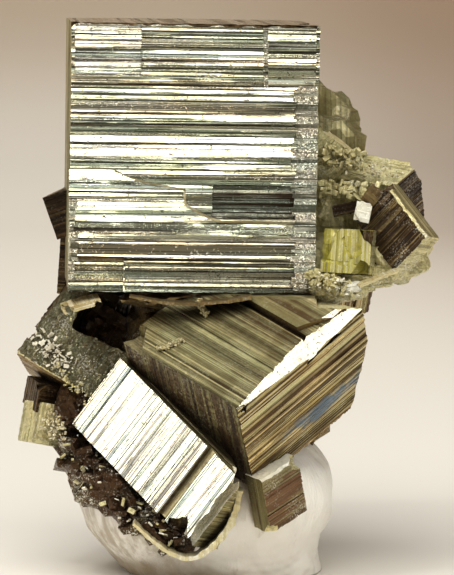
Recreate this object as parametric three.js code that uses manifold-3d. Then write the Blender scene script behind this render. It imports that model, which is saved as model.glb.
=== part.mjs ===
// Pyrite specimen: striated cubes grown through each other, standing in a lump of putty.
// Millimetres, +Z up, seen along +Y with +X to the right. The origin is the middle of the
// underside of the whole object's box.

import * as THREE from 'three';
import { mergeVertices } from 'three/addons/utils/BufferGeometryUtils.js';
import Module from 'manifold-3d';

const wasm = await Module();
wasm.setup();

// Where the middle of the object's box lies in the frame that the crystals are placed in.
const BOX_MIDDLE = { x: -0.08, y: 0.74 };

// Every crystal is a box with its own three axes, placed by its first corner or its middle.
// Its ledges run along x on the two faces across z, along y on the faces across x, and along
// z on the faces across y, the way a pyrite cube is striated. Recesses and plates are growth
// panels on its first face across z. Chips are boxes taken off in the crystal's own axes,
// breaks are boxes taken off in the whole cluster's.
const BIG_CUBE = {
  corner: [-18.9, -9.2, 69.3],
  turn: [-89, -4, 1],
  size: [30.4, 33, 28],
  plates: [{ outline: [[23.9, 0.5], [29.9, 0.5], [29.9, 7.4], [23.9, 7.4]], depth: -0.3 }],
  recesses: [
    { outline: [[0.6, 0.3], [8.6, 0.3], [8.6, 6.5], [0.6, 6.5]], depth: 0.5 },
    { outline: [[28, 7.4], [30, 7.4], [30, 32.6], [28, 32.6]], depth: 0.55 },
    {
      outline: [
        [-1, 17.8], [5.4, 17.9], [7, 18.7], [9.5, 19.5], [14.2, 20.2], [14.4, 22.2],
        [17.3, 23.7], [18.7, 24.1], [31, 24.3], [31, 34], [-1, 34],
      ],
      depth: 0.42,
    },
    { outline: [[17.5, 19.8], [27.8, 19.8], [27.8, 23.6], [17.5, 23.6]], depth: 0.65 },
    { outline: [[-1, 29.1], [6.8, 29.1], [6.8, 34], [-1, 34]], depth: 0.8 },
  ],
  chips: [
    { middle: [-0.6, -0.4, 0], turn: [20, 30, 42], size: [2.4, 2.4, 5] },
    { middle: [30.6, 33.2, 3], turn: [10, 20, 40], size: [2, 2, 6] },
    { middle: [31, -0.3, 12], turn: [5, 12, 40], size: [2.4, 2.4, 14] },
  ],
};
const STEPPED_BLOCK = {
  corner: [1.2, -22.7, 23.7],
  turn: [-142, 9, -135],
  size: [20, 21.9, 14.2],
  plates: [{ outline: [[3.4, 13.8], [20, 13.8], [20, 21.8], [1.2, 21.8], [1.4, 18]], depth: -0.6 }],
  chips: [
    { middle: [0, 10.5, 0], turn: [5, 45, 0], size: [6, 17.5, 1.2] },
    { middle: [0.2, 19.2, 0.2], turn: [-4, 45, 0], size: [6, 6, 1.7] },
    { middle: [19, 1, -0.5], turn: [20, 10, 50], size: [4, 3, 3] },
  ],
  breaks: [{ corner: [14.7, -30, 19], turn: [0, 13, 0], size: [12, 40, 15] }],
};
const BRIGHT_BLOCK = {
  corner: [1.6, -20.6, 14.9],
  turn: [-104, 30, 133],
  size: [10.5, 23.2, 8],
  recesses: [{ outline: [[-1, 4.9], [11.5, 4.9], [11.5, 6.3], [-1, 6.3]], depth: 0.9 }],
  chips: [{ middle: [10.8, 0.3, 0], turn: [30, 20, 40], size: [3, 3, 4] }],
  breaks: [{ corner: [2.3, -28, 2], turn: [0, 6, 14], size: [12, 30, 20] }],
};
const LEFT_BLOCK = {
  corner: [-26.5, -0.7, 28.1],
  turn: [-115, 8, -56],
  size: [12, 17.1, 9],
  chips: [{ middle: [-0.3, -0.3, 1], turn: [30, 0, 50], size: [1.2, 1.2, 5] }],
};

// How deep the coarse ledges cut in, their slanting riser, and how far apart they are on the
// faces across x, y and z: of a large crystal and of a small one.
const LEDGES = { depth: 0.28, riser: 0.12 };
const LARGE_PITCH = [3.6, 6, 2.5];
const SMALL_PITCH = [7, 7, 4.2];
const LARGE_FROM = 15;

// Smaller crystals around the four large ones.
const SMALL_CRYSTALS = [
  // right of the big cube: roof crystal, dark diamond plate, wedge behind, honey facet, ledges
  { corner: [21.1, -0.9, 49.1], turn: [-157, 6, -148], size: [12.5, 6.1, 9.5] },
  { corner: [24.5, -7.5, 43.1], turn: [-100, 34, 140], size: [6.3, 9.3, 3.3] },
  { corner: [16.6, 3.4, 52.7], turn: [-125, -20, -145], size: [7.8, 3.6, 9.5] },
  { corner: [11.8, -5.6, 45], turn: [-96, 12, 3], size: [6.2, 5.6, 8] },
  { corner: [12.2, -5.2, 39.6], turn: [-82, -14, -8], size: [8.6, 3.4, 8] },
  { corner: [15.4, -4.4, 37.7], turn: [-92, -20, -8], size: [5.4, 1.9, 6] },
  // under the stepped block
  { corner: [3.9, -15, 14.9], turn: [-142, 9, -135], size: [6, 7.4, 8.4] },
  // left edge: two small ones under the left block, two behind the big cube
  { corner: [-23.2, -2, 24.2], turn: [-84, -20, 12], size: [4.4, 3.6, 6] },
  { corner: [-22.3, -3.4, 22], turn: [-92, -32, 12], size: [5, 5.2, 6] },
  { corner: [-23.5, 7.4, 46.9], turn: [-84, 16, -20], size: [8, 5.8, 9] },
  { corner: [-21.2, 9.5, 43.5], turn: [-92, 6, 4], size: [8, 9, 8] },
];

// Crystals round the back and underneath, placed by their middles.
const BACK_CRYSTALS = [
  { middle: [5, 15.5, 27], turn: [-60, 25, 30], size: [12, 12.6, 11] },
  { middle: [-11.5, 14, 25], turn: [-100, -20, 50], size: [9, 8.4, 9.4] },
  { middle: [14, 11, 35.5], turn: [-70, 40, 10], size: [7, 7.6, 7] },
  { middle: [-4, 19, 40.5], turn: [-120, 15, -25], size: [8, 7.4, 7] },
  { middle: [-15.5, 12.5, 33.5], turn: [-80, 30, 20], size: [6.4, 6, 6.6] },
  { middle: [6.5, 9.5, 18], turn: [-130, 20, 60], size: [7, 6.4, 7.4] },
  { middle: [7.5, 18.5, 52], turn: [-95, 24, 14], size: [6, 6.6, 6] },
  { middle: [-12, 19, 56], turn: [-70, -18, 32], size: [5.4, 5, 5.6] },
];

// Rough massive pyrite between the crystals: middle, half sizes, fineness and seed.
const ROUGH_LUMPS = [
  { middle: [0, 5, 26], half: [14, 12, 13], fineness: 3, seed: 3 },
  { middle: [-9.5, -1.5, 14], half: [9, 7, 7], fineness: 2, seed: 5 },
  { middle: [-14.5, -3.6, 12.8], half: [5.6, 4.6, 4.4], fineness: 2, seed: 7 },
  { middle: [-6.5, -8.6, 8.6], half: [5.6, 4.8, 3.8], fineness: 2, seed: 17 },
  { middle: [-1.4, -11.6, 9.2], half: [3.2, 4.6, 4.2], fineness: 2, seed: 19 },
  { middle: [-5.2, -1.6, 35.2], half: [7.6, 5, 1.8], fineness: 2, seed: 37 },
  { middle: [14, 1.5, 38.5], half: [6, 6, 4.4], fineness: 2, seed: 23 },
  { middle: [12, 11, 43.5], half: [5.6, 6, 8], fineness: 2, seed: 67 },
  { middle: [20.3, 0.6, 40.4], half: [5, 4.4, 3.8], fineness: 2, seed: 29 },
];
const ROUGHNESS = 0.1;

// Rubble: broken crystals too small for ledges, strewn between two points.
const RUBBLE = [
  { from: [-18.9, -3.8, 16.4], to: [-14, -7.8, 11.8], count: 7, size: [3.4, 5], strew: 1, seed: 41 },
  { from: [-13.2, -8.4, 10.8], to: [-5.2, -13.4, 6.4], count: 8, size: [3.2, 4.8], strew: 1, seed: 43 },
  { from: [22.4, -2, 41.4], to: [18, -1.6, 37.8], count: 4, size: [2.8, 4], strew: 0.7, seed: 47 },
  { from: [15.4, -3, 37], to: [11.6, -3.6, 37.6], count: 3, size: [2.6, 3.8], strew: 0.6, seed: 53 },
  { from: [-8, 15.5, 34], to: [8, 17.5, 34], count: 6, size: [4, 6], strew: 2.2, seed: 59 },
  { from: [-13, 8, 21], to: [8, 15, 21], count: 5, size: [4, 6], strew: 1.8, seed: 61 },
];

// Putty: the lump's outline as distance from its axis and height, and where the axis stands.
const PUTTY_AXIS = { x: -2.6, y: 3.4 };
const PUTTY_OUTLINE = [
  [0, 0], [10.2, 0], [11.2, 1.2], [12.9, 3], [15, 5], [16.4, 7.4], [16.9, 9.9],
  [16.6, 12.4], [15.4, 14.8], [12.8, 16.8], [8.4, 18.2], [4, 18.8], [0, 19],
];
const PUTTY_SIDES = 30;
const PUTTY_WAVE = { height: 0.03, length: 14, seed: 31 };

// The clear space between the crystals and the putty pressed round them.
const GAP = 0.32;

const PYRITE = { name: 'pyrite_cluster', color: 0x8f8452, roughness: 0.32, metalness: 1 };
const PUTTY = { name: 'putty_base', color: 0xe9e0d2, roughness: 0.75, metalness: 0 };

// Repeatable random numbers from 0 to 1.
function seeded(seed) {
  let state = seed;
  return () => {
    state = (state + 0x6d2b79f5) | 0;
    let mixed = Math.imul(state ^ (state >>> 15), 1 | state);
    mixed = (mixed + Math.imul(mixed ^ (mixed >>> 7), 61 | mixed)) ^ mixed;
    return ((mixed ^ (mixed >>> 14)) >>> 0) / 4294967296;
  };
}

// Smooth lumpiness from -1 to 1 over space: a few waves in seeded directions.
function lumpiness(seed, wavelength) {
  const random = seeded(seed);
  const waves = Array.from({ length: 7 }, () => {
    const direction = new THREE.Vector3(random() - 0.5, random() - 0.5, random() - 0.5);
    const reach = (Math.PI * 2) / (wavelength * (0.6 + random()));
    return { direction: direction.setLength(reach), phase: random() * Math.PI * 2 };
  });
  return (point) => {
    const heights = waves.map((wave) => Math.sin(point.dot(wave.direction) + wave.phase));
    return heights.reduce((sum, height) => sum + height, 0) / waves.length;
  };
}

// A closed three.js geometry as a solid, without the flat slivers at a lathe's poles.
function solid(geometry) {
  const bare = geometry.index ? geometry.toNonIndexed() : geometry;
  bare.deleteAttribute('normal');
  bare.deleteAttribute('uv');
  const merged = mergeVertices(bare, 1e-4);
  const corners = merged.index.array;
  const kept = [];
  for (let at = 0; at < corners.length; at += 3) {
    const [a, b, c] = corners.slice(at, at + 3);
    if (a !== b && b !== c && c !== a) {
      kept.push(a, b, c);
    }
  }
  const vertProperties = new Float32Array(merged.attributes.position.array);
  const triVerts = new Uint32Array(kept);
  return new wasm.Manifold(new wasm.Mesh({ numProp: 3, vertProperties, triVerts }));
}

function join(solids) {
  return solids.reduce((whole, one) => whole.add(one));
}

// The matrix that takes a box's own axes, from its first corner, to where it stands.
function placement({ corner, middle, turn, size }) {
  const [x, y, z] = turn.map(THREE.MathUtils.degToRad);
  const matrix = new THREE.Matrix4().makeRotationFromEuler(new THREE.Euler(x, y, z, 'XYZ'));
  if (corner) {
    return matrix.setPosition(...corner);
  }
  const reach = new THREE.Vector3(...size).multiplyScalar(-0.5).applyMatrix4(matrix);
  return matrix.setPosition(new THREE.Vector3(...middle).add(reach));
}

// A plain box on a box's place, larger than it by a margin all round.
function plainBox(spec, margin = 0) {
  const [x, y, z] = spec.size;
  const box = new THREE.BoxGeometry(x + 2 * margin, y + 2 * margin, z + 2 * margin);
  return box.translate(x / 2, y / 2, z / 2).applyMatrix4(placement(spec));
}

// One long face's outline, from one end to the other, cut in by ledges.
function ledgeLine(length, pitch, random) {
  const line = [];
  let at = -1;
  while (at < length + 1) {
    const level = random() * LEDGES.depth;
    line.push([at, level]);
    at += pitch * (0.45 + 1.1 * random());
    line.push([at, level]);
    at += LEDGES.riser;
  }
  return line;
}

// A bar with ledges along it: the outline is straight in its first direction and stepped in
// its second, and the bar runs in its third.
function ledgedBar(first, second, length, pitch, random) {
  const low = ledgeLine(first, pitch, random).map(([s, h]) => new THREE.Vector2(s, h));
  const high = ledgeLine(first, pitch, random).map(([s, h]) => new THREE.Vector2(s, second - h));
  const outline = new THREE.Shape([...low, ...high.reverse()]);
  const bar = new THREE.ExtrudeGeometry(outline, { depth: length + 2, bevelEnabled: false });
  return bar.translate(0, 0, -1);
}

// A growth panel's prism, from one level below a crystal's first face across z to another.
function panel(outline, from, to, place) {
  const shape = new THREE.Shape(outline.map(([x, y]) => new THREE.Vector2(x, y)));
  const prism = new THREE.ExtrudeGeometry(shape, { depth: to - from, bevelEnabled: false });
  return solid(prism.translate(0, 0, from).applyMatrix4(place));
}

// A striated crystal: what three ledged bars across each other have in common, with its
// panels added and cut, and its broken corners taken off.
function crystal(spec, seed) {
  const { plates = [], recesses = [], chips = [], breaks = [] } = spec;
  const random = seeded(seed);
  const [x, y, z] = spec.size;
  const pitch = Math.max(x, y, z) > LARGE_FROM ? LARGE_PITCH : SMALL_PITCH;
  const alongZ = ledgedBar(x, y, z, pitch[1], random);
  const alongX = ledgedBar(y, z, x, pitch[2], random);
  const alongY = ledgedBar(z, x, y, pitch[0], random);
  alongX.applyMatrix4(new THREE.Matrix4().set(0, 0, 1, 0, 1, 0, 0, 0, 0, 1, 0, 0, 0, 0, 0, 1));
  alongY.applyMatrix4(new THREE.Matrix4().set(0, 1, 0, 0, 0, 0, 1, 0, 1, 0, 0, 0, 0, 0, 0, 1));
  const place = placement(spec);
  const bars = [alongX, alongY, alongZ].map((bar) => solid(bar.applyMatrix4(place)));
  const whole = bars[0].intersect(bars[1]).intersect(bars[2]);
  const raised = plates.map(({ outline, depth }) => panel(outline, depth, 1, place));
  const removed = [
    ...recesses.map(({ outline, depth }) => panel(outline, -1, depth, place)),
    ...chips.map((chip) => solid(plainBox(chip).applyMatrix4(place))),
    ...breaks.map((cut) => solid(plainBox(cut))),
  ];
  return removed.reduce((left, cut) => left.subtract(cut), join([whole, ...raised]));
}

// A rough lump, or with a margin the room that it takes.
function roughLump({ middle, half, fineness, seed }, margin = 0) {
  const lump = new THREE.IcosahedronGeometry(1, fineness);
  const height = lumpiness(seed, 0.9);
  const points = lump.attributes.position;
  for (let index = 0; index < points.count; index += 1) {
    const point = new THREE.Vector3().fromBufferAttribute(points, index);
    point.multiplyScalar(1 + ROUGHNESS * height(point));
    const [x, y, z] = half.map((reach) => reach + margin);
    points.setXYZ(index, middle[0] + point.x * x, middle[1] + point.y * y, middle[2] + point.z * z);
  }
  return solid(lump);
}

// The boxes of one strewn band.
function rubble({ from, to, count, size, strew, seed }) {
  const random = seeded(seed);
  const spread = (reach) => (random() - 0.5) * 2 * reach;
  return Array.from({ length: count }, (_, index) => {
    const share = index / (count - 1);
    return {
      middle: from.map((start, axis) => start + (to[axis] - start) * share + spread(strew)),
      turn: [spread(180), spread(90), spread(180)],
      size: [0, 1, 2].map(() => size[0] + random() * (size[1] - size[0])),
    };
  });
}

// The putty lump: a slumped round body with soft waves and a flat underside.
function puttyLump() {
  const outline = PUTTY_OUTLINE.map(([radius, height]) => new THREE.Vector2(radius, height));
  const lump = new THREE.LatheGeometry(outline, PUTTY_SIDES).rotateX(Math.PI / 2);
  const wave = lumpiness(PUTTY_WAVE.seed, PUTTY_WAVE.length);
  const points = lump.attributes.position;
  for (let index = 0; index < points.count; index += 1) {
    const point = new THREE.Vector3().fromBufferAttribute(points, index);
    const swell = 1 + PUTTY_WAVE.height * Math.min(point.z / 4, 1) * wave(point);
    const x = PUTTY_AXIS.x + point.x * swell;
    const y = PUTTY_AXIS.y + point.y * swell;
    points.setXYZ(index, x, y, point.z);
  }
  return solid(lump);
}

// The largest of a cut solid's separate pieces: crumbs cut loose are dropped.
function largest(body) {
  return body.decompose().sort((a, b) => b.volume() - a.volume())[0];
}

function named(spec, body) {
  const mesh = body.getMesh();
  const geometry = new THREE.BufferGeometry();
  geometry.setAttribute('position', new THREE.BufferAttribute(mesh.vertProperties, 3));
  geometry.setIndex(new THREE.BufferAttribute(mesh.triVerts, 1));
  geometry.computeVertexNormals();
  const { name, color, roughness, metalness } = spec;
  const material = new THREE.MeshStandardMaterial({ color, roughness, metalness });
  const piece = new THREE.Mesh(geometry, material);
  piece.name = name;
  return piece;
}

const large = [BIG_CUBE, STEPPED_BLOCK, BRIGHT_BLOCK, LEFT_BLOCK];
const specs = [...large, ...SMALL_CRYSTALS, ...BACK_CRYSTALS];
const crystals = specs.map((spec, index) => crystal(spec, index + 1));
const lumps = ROUGH_LUMPS.map((spec) => roughLump(spec));
const broken = RUBBLE.flatMap((band) => rubble(band));
const cluster = largest(join([...crystals, ...lumps, ...broken.map((spec) => solid(plainBox(spec)))]));

const room = join([
  ...[...specs, ...broken].map((spec) => solid(plainBox(spec, GAP))),
  ...ROUGH_LUMPS.map((spec) => roughLump(spec, GAP)),
]);
const putty = largest(puttyLump().subtract(room));

const specimen = new THREE.Group();
specimen.add(named(PYRITE, cluster));
specimen.add(named(PUTTY, putty));
specimen.position.set(-BOX_MIDDLE.x, -BOX_MIDDLE.y, 0);

export default specimen;
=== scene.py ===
"""Pyrite specimen: striated crystals grown through each other, standing in a lump of putty."""

import math

import bmesh
import bpy
import numpy as np
from bpy.props import FloatProperty, FloatVectorProperty, PointerProperty
from mathutils import Matrix, Vector


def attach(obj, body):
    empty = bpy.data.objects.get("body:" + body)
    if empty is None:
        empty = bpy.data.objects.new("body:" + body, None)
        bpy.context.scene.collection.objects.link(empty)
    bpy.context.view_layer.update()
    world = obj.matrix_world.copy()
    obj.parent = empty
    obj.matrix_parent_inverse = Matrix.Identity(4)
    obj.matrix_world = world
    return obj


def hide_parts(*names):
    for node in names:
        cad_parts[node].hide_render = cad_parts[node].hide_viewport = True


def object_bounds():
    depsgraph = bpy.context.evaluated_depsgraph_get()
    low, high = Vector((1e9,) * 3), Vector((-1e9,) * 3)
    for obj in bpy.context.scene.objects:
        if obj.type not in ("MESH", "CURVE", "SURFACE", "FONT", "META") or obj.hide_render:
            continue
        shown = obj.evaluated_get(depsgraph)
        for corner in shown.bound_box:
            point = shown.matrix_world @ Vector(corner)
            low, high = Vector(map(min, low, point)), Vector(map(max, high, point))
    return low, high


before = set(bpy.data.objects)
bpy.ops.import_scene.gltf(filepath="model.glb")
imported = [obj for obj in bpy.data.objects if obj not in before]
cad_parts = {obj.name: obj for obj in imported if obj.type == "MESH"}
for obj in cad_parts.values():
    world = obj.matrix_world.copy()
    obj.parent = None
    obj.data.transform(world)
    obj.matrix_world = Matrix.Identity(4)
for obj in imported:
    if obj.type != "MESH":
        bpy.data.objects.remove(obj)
CAD_LOW, CAD_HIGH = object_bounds()

bl_info = {
    "name": "Pyrite specimen",
    "version": (1, 0, 0),
    "blender": (4, 5, 0),
    "location": "View3D > Sidebar > Specimen",
    "description": "Builds a cluster of striated pyrite crystals, its lump of putty and a plain stage",
    "category": "Add Mesh",
}

MM = 0.001

# From the axes that the crystals are placed in, in mm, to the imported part's, in metres.
GROWTH = Matrix.Scale(MM, 4) @ Matrix.Translation((0.08, -0.74, 0))

# Sides of a crystal in its own axes. Its front is "-z". Each side's ledges run along the axis after
# it. A face's kind is its side's number, or STEP round a growth panel, or counts the panels and cuts
# from PANEL on.
SIDES = ("-x", "+x", "-y", "+y", "-z", "+z")
STEP = len(SIDES)
PANEL = STEP + 1

# How far the bars that a crystal is cut from reach past it, in mm.
MARGIN = 0.6

# The angle between two faces from which their edge is sharp.
SHARP = math.radians(4)

# Ways for a face to be ledged, as multiples of the sizes in the settings.
RELIEFS = {
    "mirror": dict(width=0.66, depth=1, riser=1.2, tilt=1.1, etch=0.02, grain=3),
    "fine": dict(width=0.6, depth=0.7, riser=1.2, tilt=0.9, etch=0.1, grain=2),
    "ridged": dict(width=0.8, depth=1.6, riser=2.2, tilt=2.8, etch=0.3, grain=2),
    "combed": dict(width=0.7, depth=0.9, riser=1.2, tilt=1.8, etch=0.4, grain=1.2),
    "etched": dict(width=1, depth=0.7, riser=1.4, tilt=1.2, etch=1, grain=0.9),
    "grainy": dict(width=0.8, depth=0.3, riser=2, tilt=1.2, etch=1.7, grain=0.85),
    "plain": dict(width=2.4, depth=0.5, riser=1, tilt=0.6, etch=0.1, grain=3),
}


def finish_look(
    relief, base, light, dark, roughness, tarnish, lines, facets, contrast,
    metal=1, hair=0, pits_and_painted_glints=0, shade=0.9,
):
    """A finish: its relief, its middling, light and dark colour, how rough and how tarnished it is, how
    strong the bumps of fine lines and of etched facets are, how much its ledges differ, how metallic it
    is, how dark its hairlines are, how many pits and painted glints it has, and how far painted shade
    darkens it in the hollows."""
    return dict(
        relief=relief, base=base, light=light, dark=dark, roughness=roughness, tarnish=tarnish,
        lines=lines, facets=facets, contrast=contrast, metal=metal, hair=hair, pits_and_painted_glints=pits_and_painted_glints,
        shade=shade,
    )


FINISHES = {
    "bright": finish_look(
        "mirror", "brass", "silver", "gloom", 0.075, 0.03, 0.12, 0.02, 1.2, hair=0.9,
    ),
    "brilliant": finish_look(
        "fine", "silver", "silver", "steel", 0.12, 0.05, 0.3, 0.04, 0.9, hair=0.9,
    ),
    "roof": finish_look(
        "plain", "brass", "silver", "bronze", 0.16, 0.2, 0.4, 0.15, 0.8, hair=0.6,
    ),
    "smoky": finish_look(
        "mirror", "smoke", "brass", "gloom", 0.14, 0.15, 0.2, 0.08, 1.2, hair=0.8,
    ),
    "dusk": finish_look(
        "fine", "smoke", "smoke", "soot", 0.16, 0.15, 0.2, 0.1, 1, hair=0.7,
    ),
    "ladder": finish_look(
        "etched", "silver", "silver", "gloom", 0.2, 0.2, 0.5, 0.6, 0.9,
        metal=0.9, hair=0.15, pits_and_painted_glints=0.35, shade=0.6,
    ),
    "rim": finish_look(
        "fine", "straw", "silver", "gold", 0.3, 0.1, 0.3, 0.5, 0.5,
        metal=0.35, hair=0.2, pits_and_painted_glints=0.6, shade=0.4,
    ),
    "olive": finish_look(
        "combed", "olive", "khaki", "umber", 0.34, 0.25, 0.8, 0.4, 0.65,
        metal=0.7, hair=0.6, pits_and_painted_glints=0.25,
    ),
    "moss": finish_look(
        "plain", "olive", "straw", "umber", 0.36, 0.2, 0.4, 0.4, 0.5,
        metal=0.65, hair=0.3, pits_and_painted_glints=0.3, shade=0.7,
    ),
    "golden": finish_look(
        "ridged", "gold", "straw", "umber", 0.26, 0.2, 1, 0.15, 1.4, metal=0.9, hair=0.7, pits_and_painted_glints=0.1,
    ),
    "brown": finish_look(
        "combed", "umber", "bronze", "soot", 0.36, 0.3, 0.8, 0.4, 0.9, metal=0.8, hair=0.5, pits_and_painted_glints=0.2,
    ),
    "sooty": finish_look(
        "grainy", "slate", "khaki", "umber", 0.3, 0.35, 0.05, 0.8, 0.1,
        metal=0.85, pits_and_painted_glints=0.9, shade=0.95,
    ),
    "bronze": finish_look(
        "etched", "bronze", "gold", "umber", 0.34, 0.4, 0.7, 0.6, 0.4,
        metal=0.75, hair=0.1, pits_and_painted_glints=0.6, shade=0.8,
    ),
    "khaki": finish_look(
        "grainy", "khaki", "straw", "olive", 0.3, 0.35, 0.1, 1, 0.6,
        metal=0.4, hair=0.1, pits_and_painted_glints=1, shade=0.3,
    ),
    "honey": finish_look(
        "fine", "honey", "khaki", "olive", 0.26, 0.25, 0.8, 0.2, 0.7,
        metal=0.35, hair=0.25, pits_and_painted_glints=0.15, shade=0.45,
    ),
    "dark": finish_look(
        "combed", "soot", "umber", "soot", 0.28, 0.2, 1, 0.5, 0.8, metal=0.9, hair=0.5, pits_and_painted_glints=0.15,
    ),
    "sable": finish_look(
        "combed", "umber", "bronze", "soot", 0.3, 0.3, 1, 0.5, 1.1,
        metal=0.75, hair=0.5, pits_and_painted_glints=0.5, shade=0.7,
    ),
    "bark": finish_look(
        "etched", "umber", "olive", "soot", 0.38, 0.35, 0.4, 0.8, 0.6,
        metal=0.55, hair=0.2, pits_and_painted_glints=0.45, shade=0.75,
    ),
    "chestnut": finish_look(
        "combed", "chestnut", "olive", "umber", 0.34, 0.4, 0.8, 0.6, 0.8,
        metal=0.65, hair=0.3, pits_and_painted_glints=0.5, shade=0.7,
    ),
    "pale": finish_look(
        "etched", "silver", "silver", "smoke", 0.3, 0.05, 0.1, 0.25, 0, metal=0.3, shade=0.3,
    ),
    "broken": finish_look(
        "etched", "silver", "silver", "bronze", 0.24, 0.15, 0.1, 0.6, 0, metal=0.6, shade=0.2,
    ),
    "worn": finish_look(
        "etched", "silver", "silver", "umber", 0.2, 0.05, 0.1, 0.1, 0, shade=0.3,
    ),
    "massive": finish_look(
        "etched", "bronze", "khaki", "soot", 0.32, 0.6, 0.1, 1, 0, metal=0.7, pits_and_painted_glints=1, shade=0.85,
    ),
    "rust": finish_look(
        "etched", "rust", "straw", "soot", 0.32, 0.5, 0.15, 1, 0, metal=0.85, pits_and_painted_glints=1, shade=0.85,
    ),
}


def block(
    place, turn, size, seed, finish, faces=None, start="corner", painted_falloff=0, broad=(), panels=(), cuts=()
):
    """A crystal in mm: where its first corner or its middle stands, its turn about the three axes in
    degrees, its size and seed, the finish of its sides and of those that differ, how far painted shade
    darkens its front along the ledges, and its front's broad ledges as start, end and slope."""
    return {
        start: place, "turn": turn, "size": size, "seed": seed, "painted_falloff": painted_falloff, "broad": broad,
        "sides": [(faces or {}).get(side, finish) for side in SIDES], "panels": panels, "cuts": cuts,
    }


def panel(outline, depth, finish, lean=0, broad=(), painted_falloff=0, teeth=()):
    """A growth panel in a crystal's front: its outline, how deep it lies, its finish, the lean of its
    ledges, its broad ledges, how far painted shade darkens it along them, and at which x its edge breaks
    into teeth, and how long."""
    return dict(
        outline=outline, depth=depth, finish=finish, lean=lean, broad=broad, painted_falloff=painted_falloff, teeth=teeth,
    )


def oblong(x0, y0, x1, y1):
    """The outline of a panel with four square corners."""
    return ((x0, y0), (x1, y0), (x1, y1), (x0, y1))


def chip(place, turn, size, finish, grain=0.6, rough=0.07, wave=0.08, start="middle"):
    """A box that is cut out of a crystal, in the crystal's own axes, and how uneven its sides are."""
    return {
        start: place, "turn": turn, "size": size, "finish": finish, "grain": grain, "rough": rough,
        "wave": wave,
    }


def gap(corner, turn, size, finish):
    """A box that is cut out of a crystal, in the axes that the crystals are placed in."""
    return chip(corner, turn, size, finish, start="corner")


# The big cube's front and two of its panels darken towards the right, as painted shade.
BIG_CUBE = block(
    (-18.9, -9.2, 69.3), (-89, -4, 1), (30.4, 33, 28), 1, "olive",
    {"-x": "moss", "+x": "khaki", "-y": "roof", "+y": "bronze", "-z": "bright"}, painted_falloff=0.35,
    broad=((1.9, 2.8, 0), (8.8, 9.3, 0), (11.2, 11.7, 0.01), (13.8, 14.5, 0.02)),
    panels=(
        panel(
            oblong(0.5, 0.3, 8.6, 6.5), 0.28, "brilliant",
            broad=((1.5, 2, 0.01), (2.3, 2.9, 0), (4.9, 5.6, 0)),
        ),
        panel(
            oblong(23.9, 0.4, 29.9, 7.4), -0.22, "bright", lean=0.01,
            broad=((1.2, 2, 0.05), (5.4, 6.6, 0)),
        ),
        panel(((23.4, 0.4), (24, 0.4), (24.1, 7.5), (23.6, 7.5)), -0.15, "ladder"),
        panel(
            (
                (-1, 17.8), (5.4, 17.9), (7, 18.7), (9.5, 19.5), (14.2, 20.2), (14.4, 22.2), (17.3, 23.7),
                (18.7, 24.1), (31, 24.3), (31, 34), (-1, 34),
            ),
            0.42, "bright", lean=0.01,
            broad=((18.4, 19.2, 0), (22.4, 23.3, 0), (24.5, 25.1, 0.03), (27.2, 28.3, 0.12)), painted_falloff=0.8,
        ),
        panel(oblong(17.5, 19.8, 27.8, 23.9), 0.6, "dusk", lean=0.05, broad=((21.2, 22.2, 0.08),)),
        panel(oblong(-1, 29.1, 6.8, 34), 0.75, "smoky", lean=0.02, broad=((29.9, 31.6, 0.02),)),
        panel(((-1, 28.5), (6.8, 28.6), (6.8, 29.1), (-1, 29.1)), 0.6, "brown"),
        panel(
            ((6.9, 29.5), (31, 29.9), (31, 34), (6.9, 34)), 0.6, "smoky", lean=0.03,
            broad=((30.4, 31.3, 0.02),), painted_falloff=0.4,
        ),
        # a thin pale strip along the raised panel's edge, painted as the light on its step
        panel(
            (
                (0.6, 17.72), (5.4, 17.82), (7, 18.62), (9.5, 19.42), (14.2, 20.12), (14.4, 22.12),
                (17.3, 23.62), (18.7, 24.02), (27.8, 24.2), (27.8, 24.42), (18.6, 24.28), (17.1, 23.86),
                (14.15, 22.3), (13.95, 20.34), (9.4, 19.62), (6.9, 18.8), (5.3, 18), (0.6, 17.88),
            ),
            0.4, "rim",
        ),
        panel(oblong(27.9, 7.4, 31, 32.6), 0.25, "ladder", teeth=(27.9, -0.9)),
        panel(oblong(-1, 21.7, 0.5, 31.6), 0.35, "ladder", teeth=(0.5, 0.8)),
    ),
    cuts=(
        chip((-0.6, -0.4, 0), (20, 30, 42), (2.6, 2.6, 5), "brown"),
        chip((30.6, 33.2, 3), (10, 20, 40), (2, 2, 6), "khaki"),
        chip((31, -0.3, 12), (5, 12, 40), (2.4, 2.4, 14), "brown"),
        chip((-0.3, 25.5, -0.1), (4, 38, 2), (2, 10, 1.3), "ladder"),
        chip((14, -0.1, 0), (42, 0, 0.6), (32, 0.9, 0.5), "brown"),
    ),
)
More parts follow.
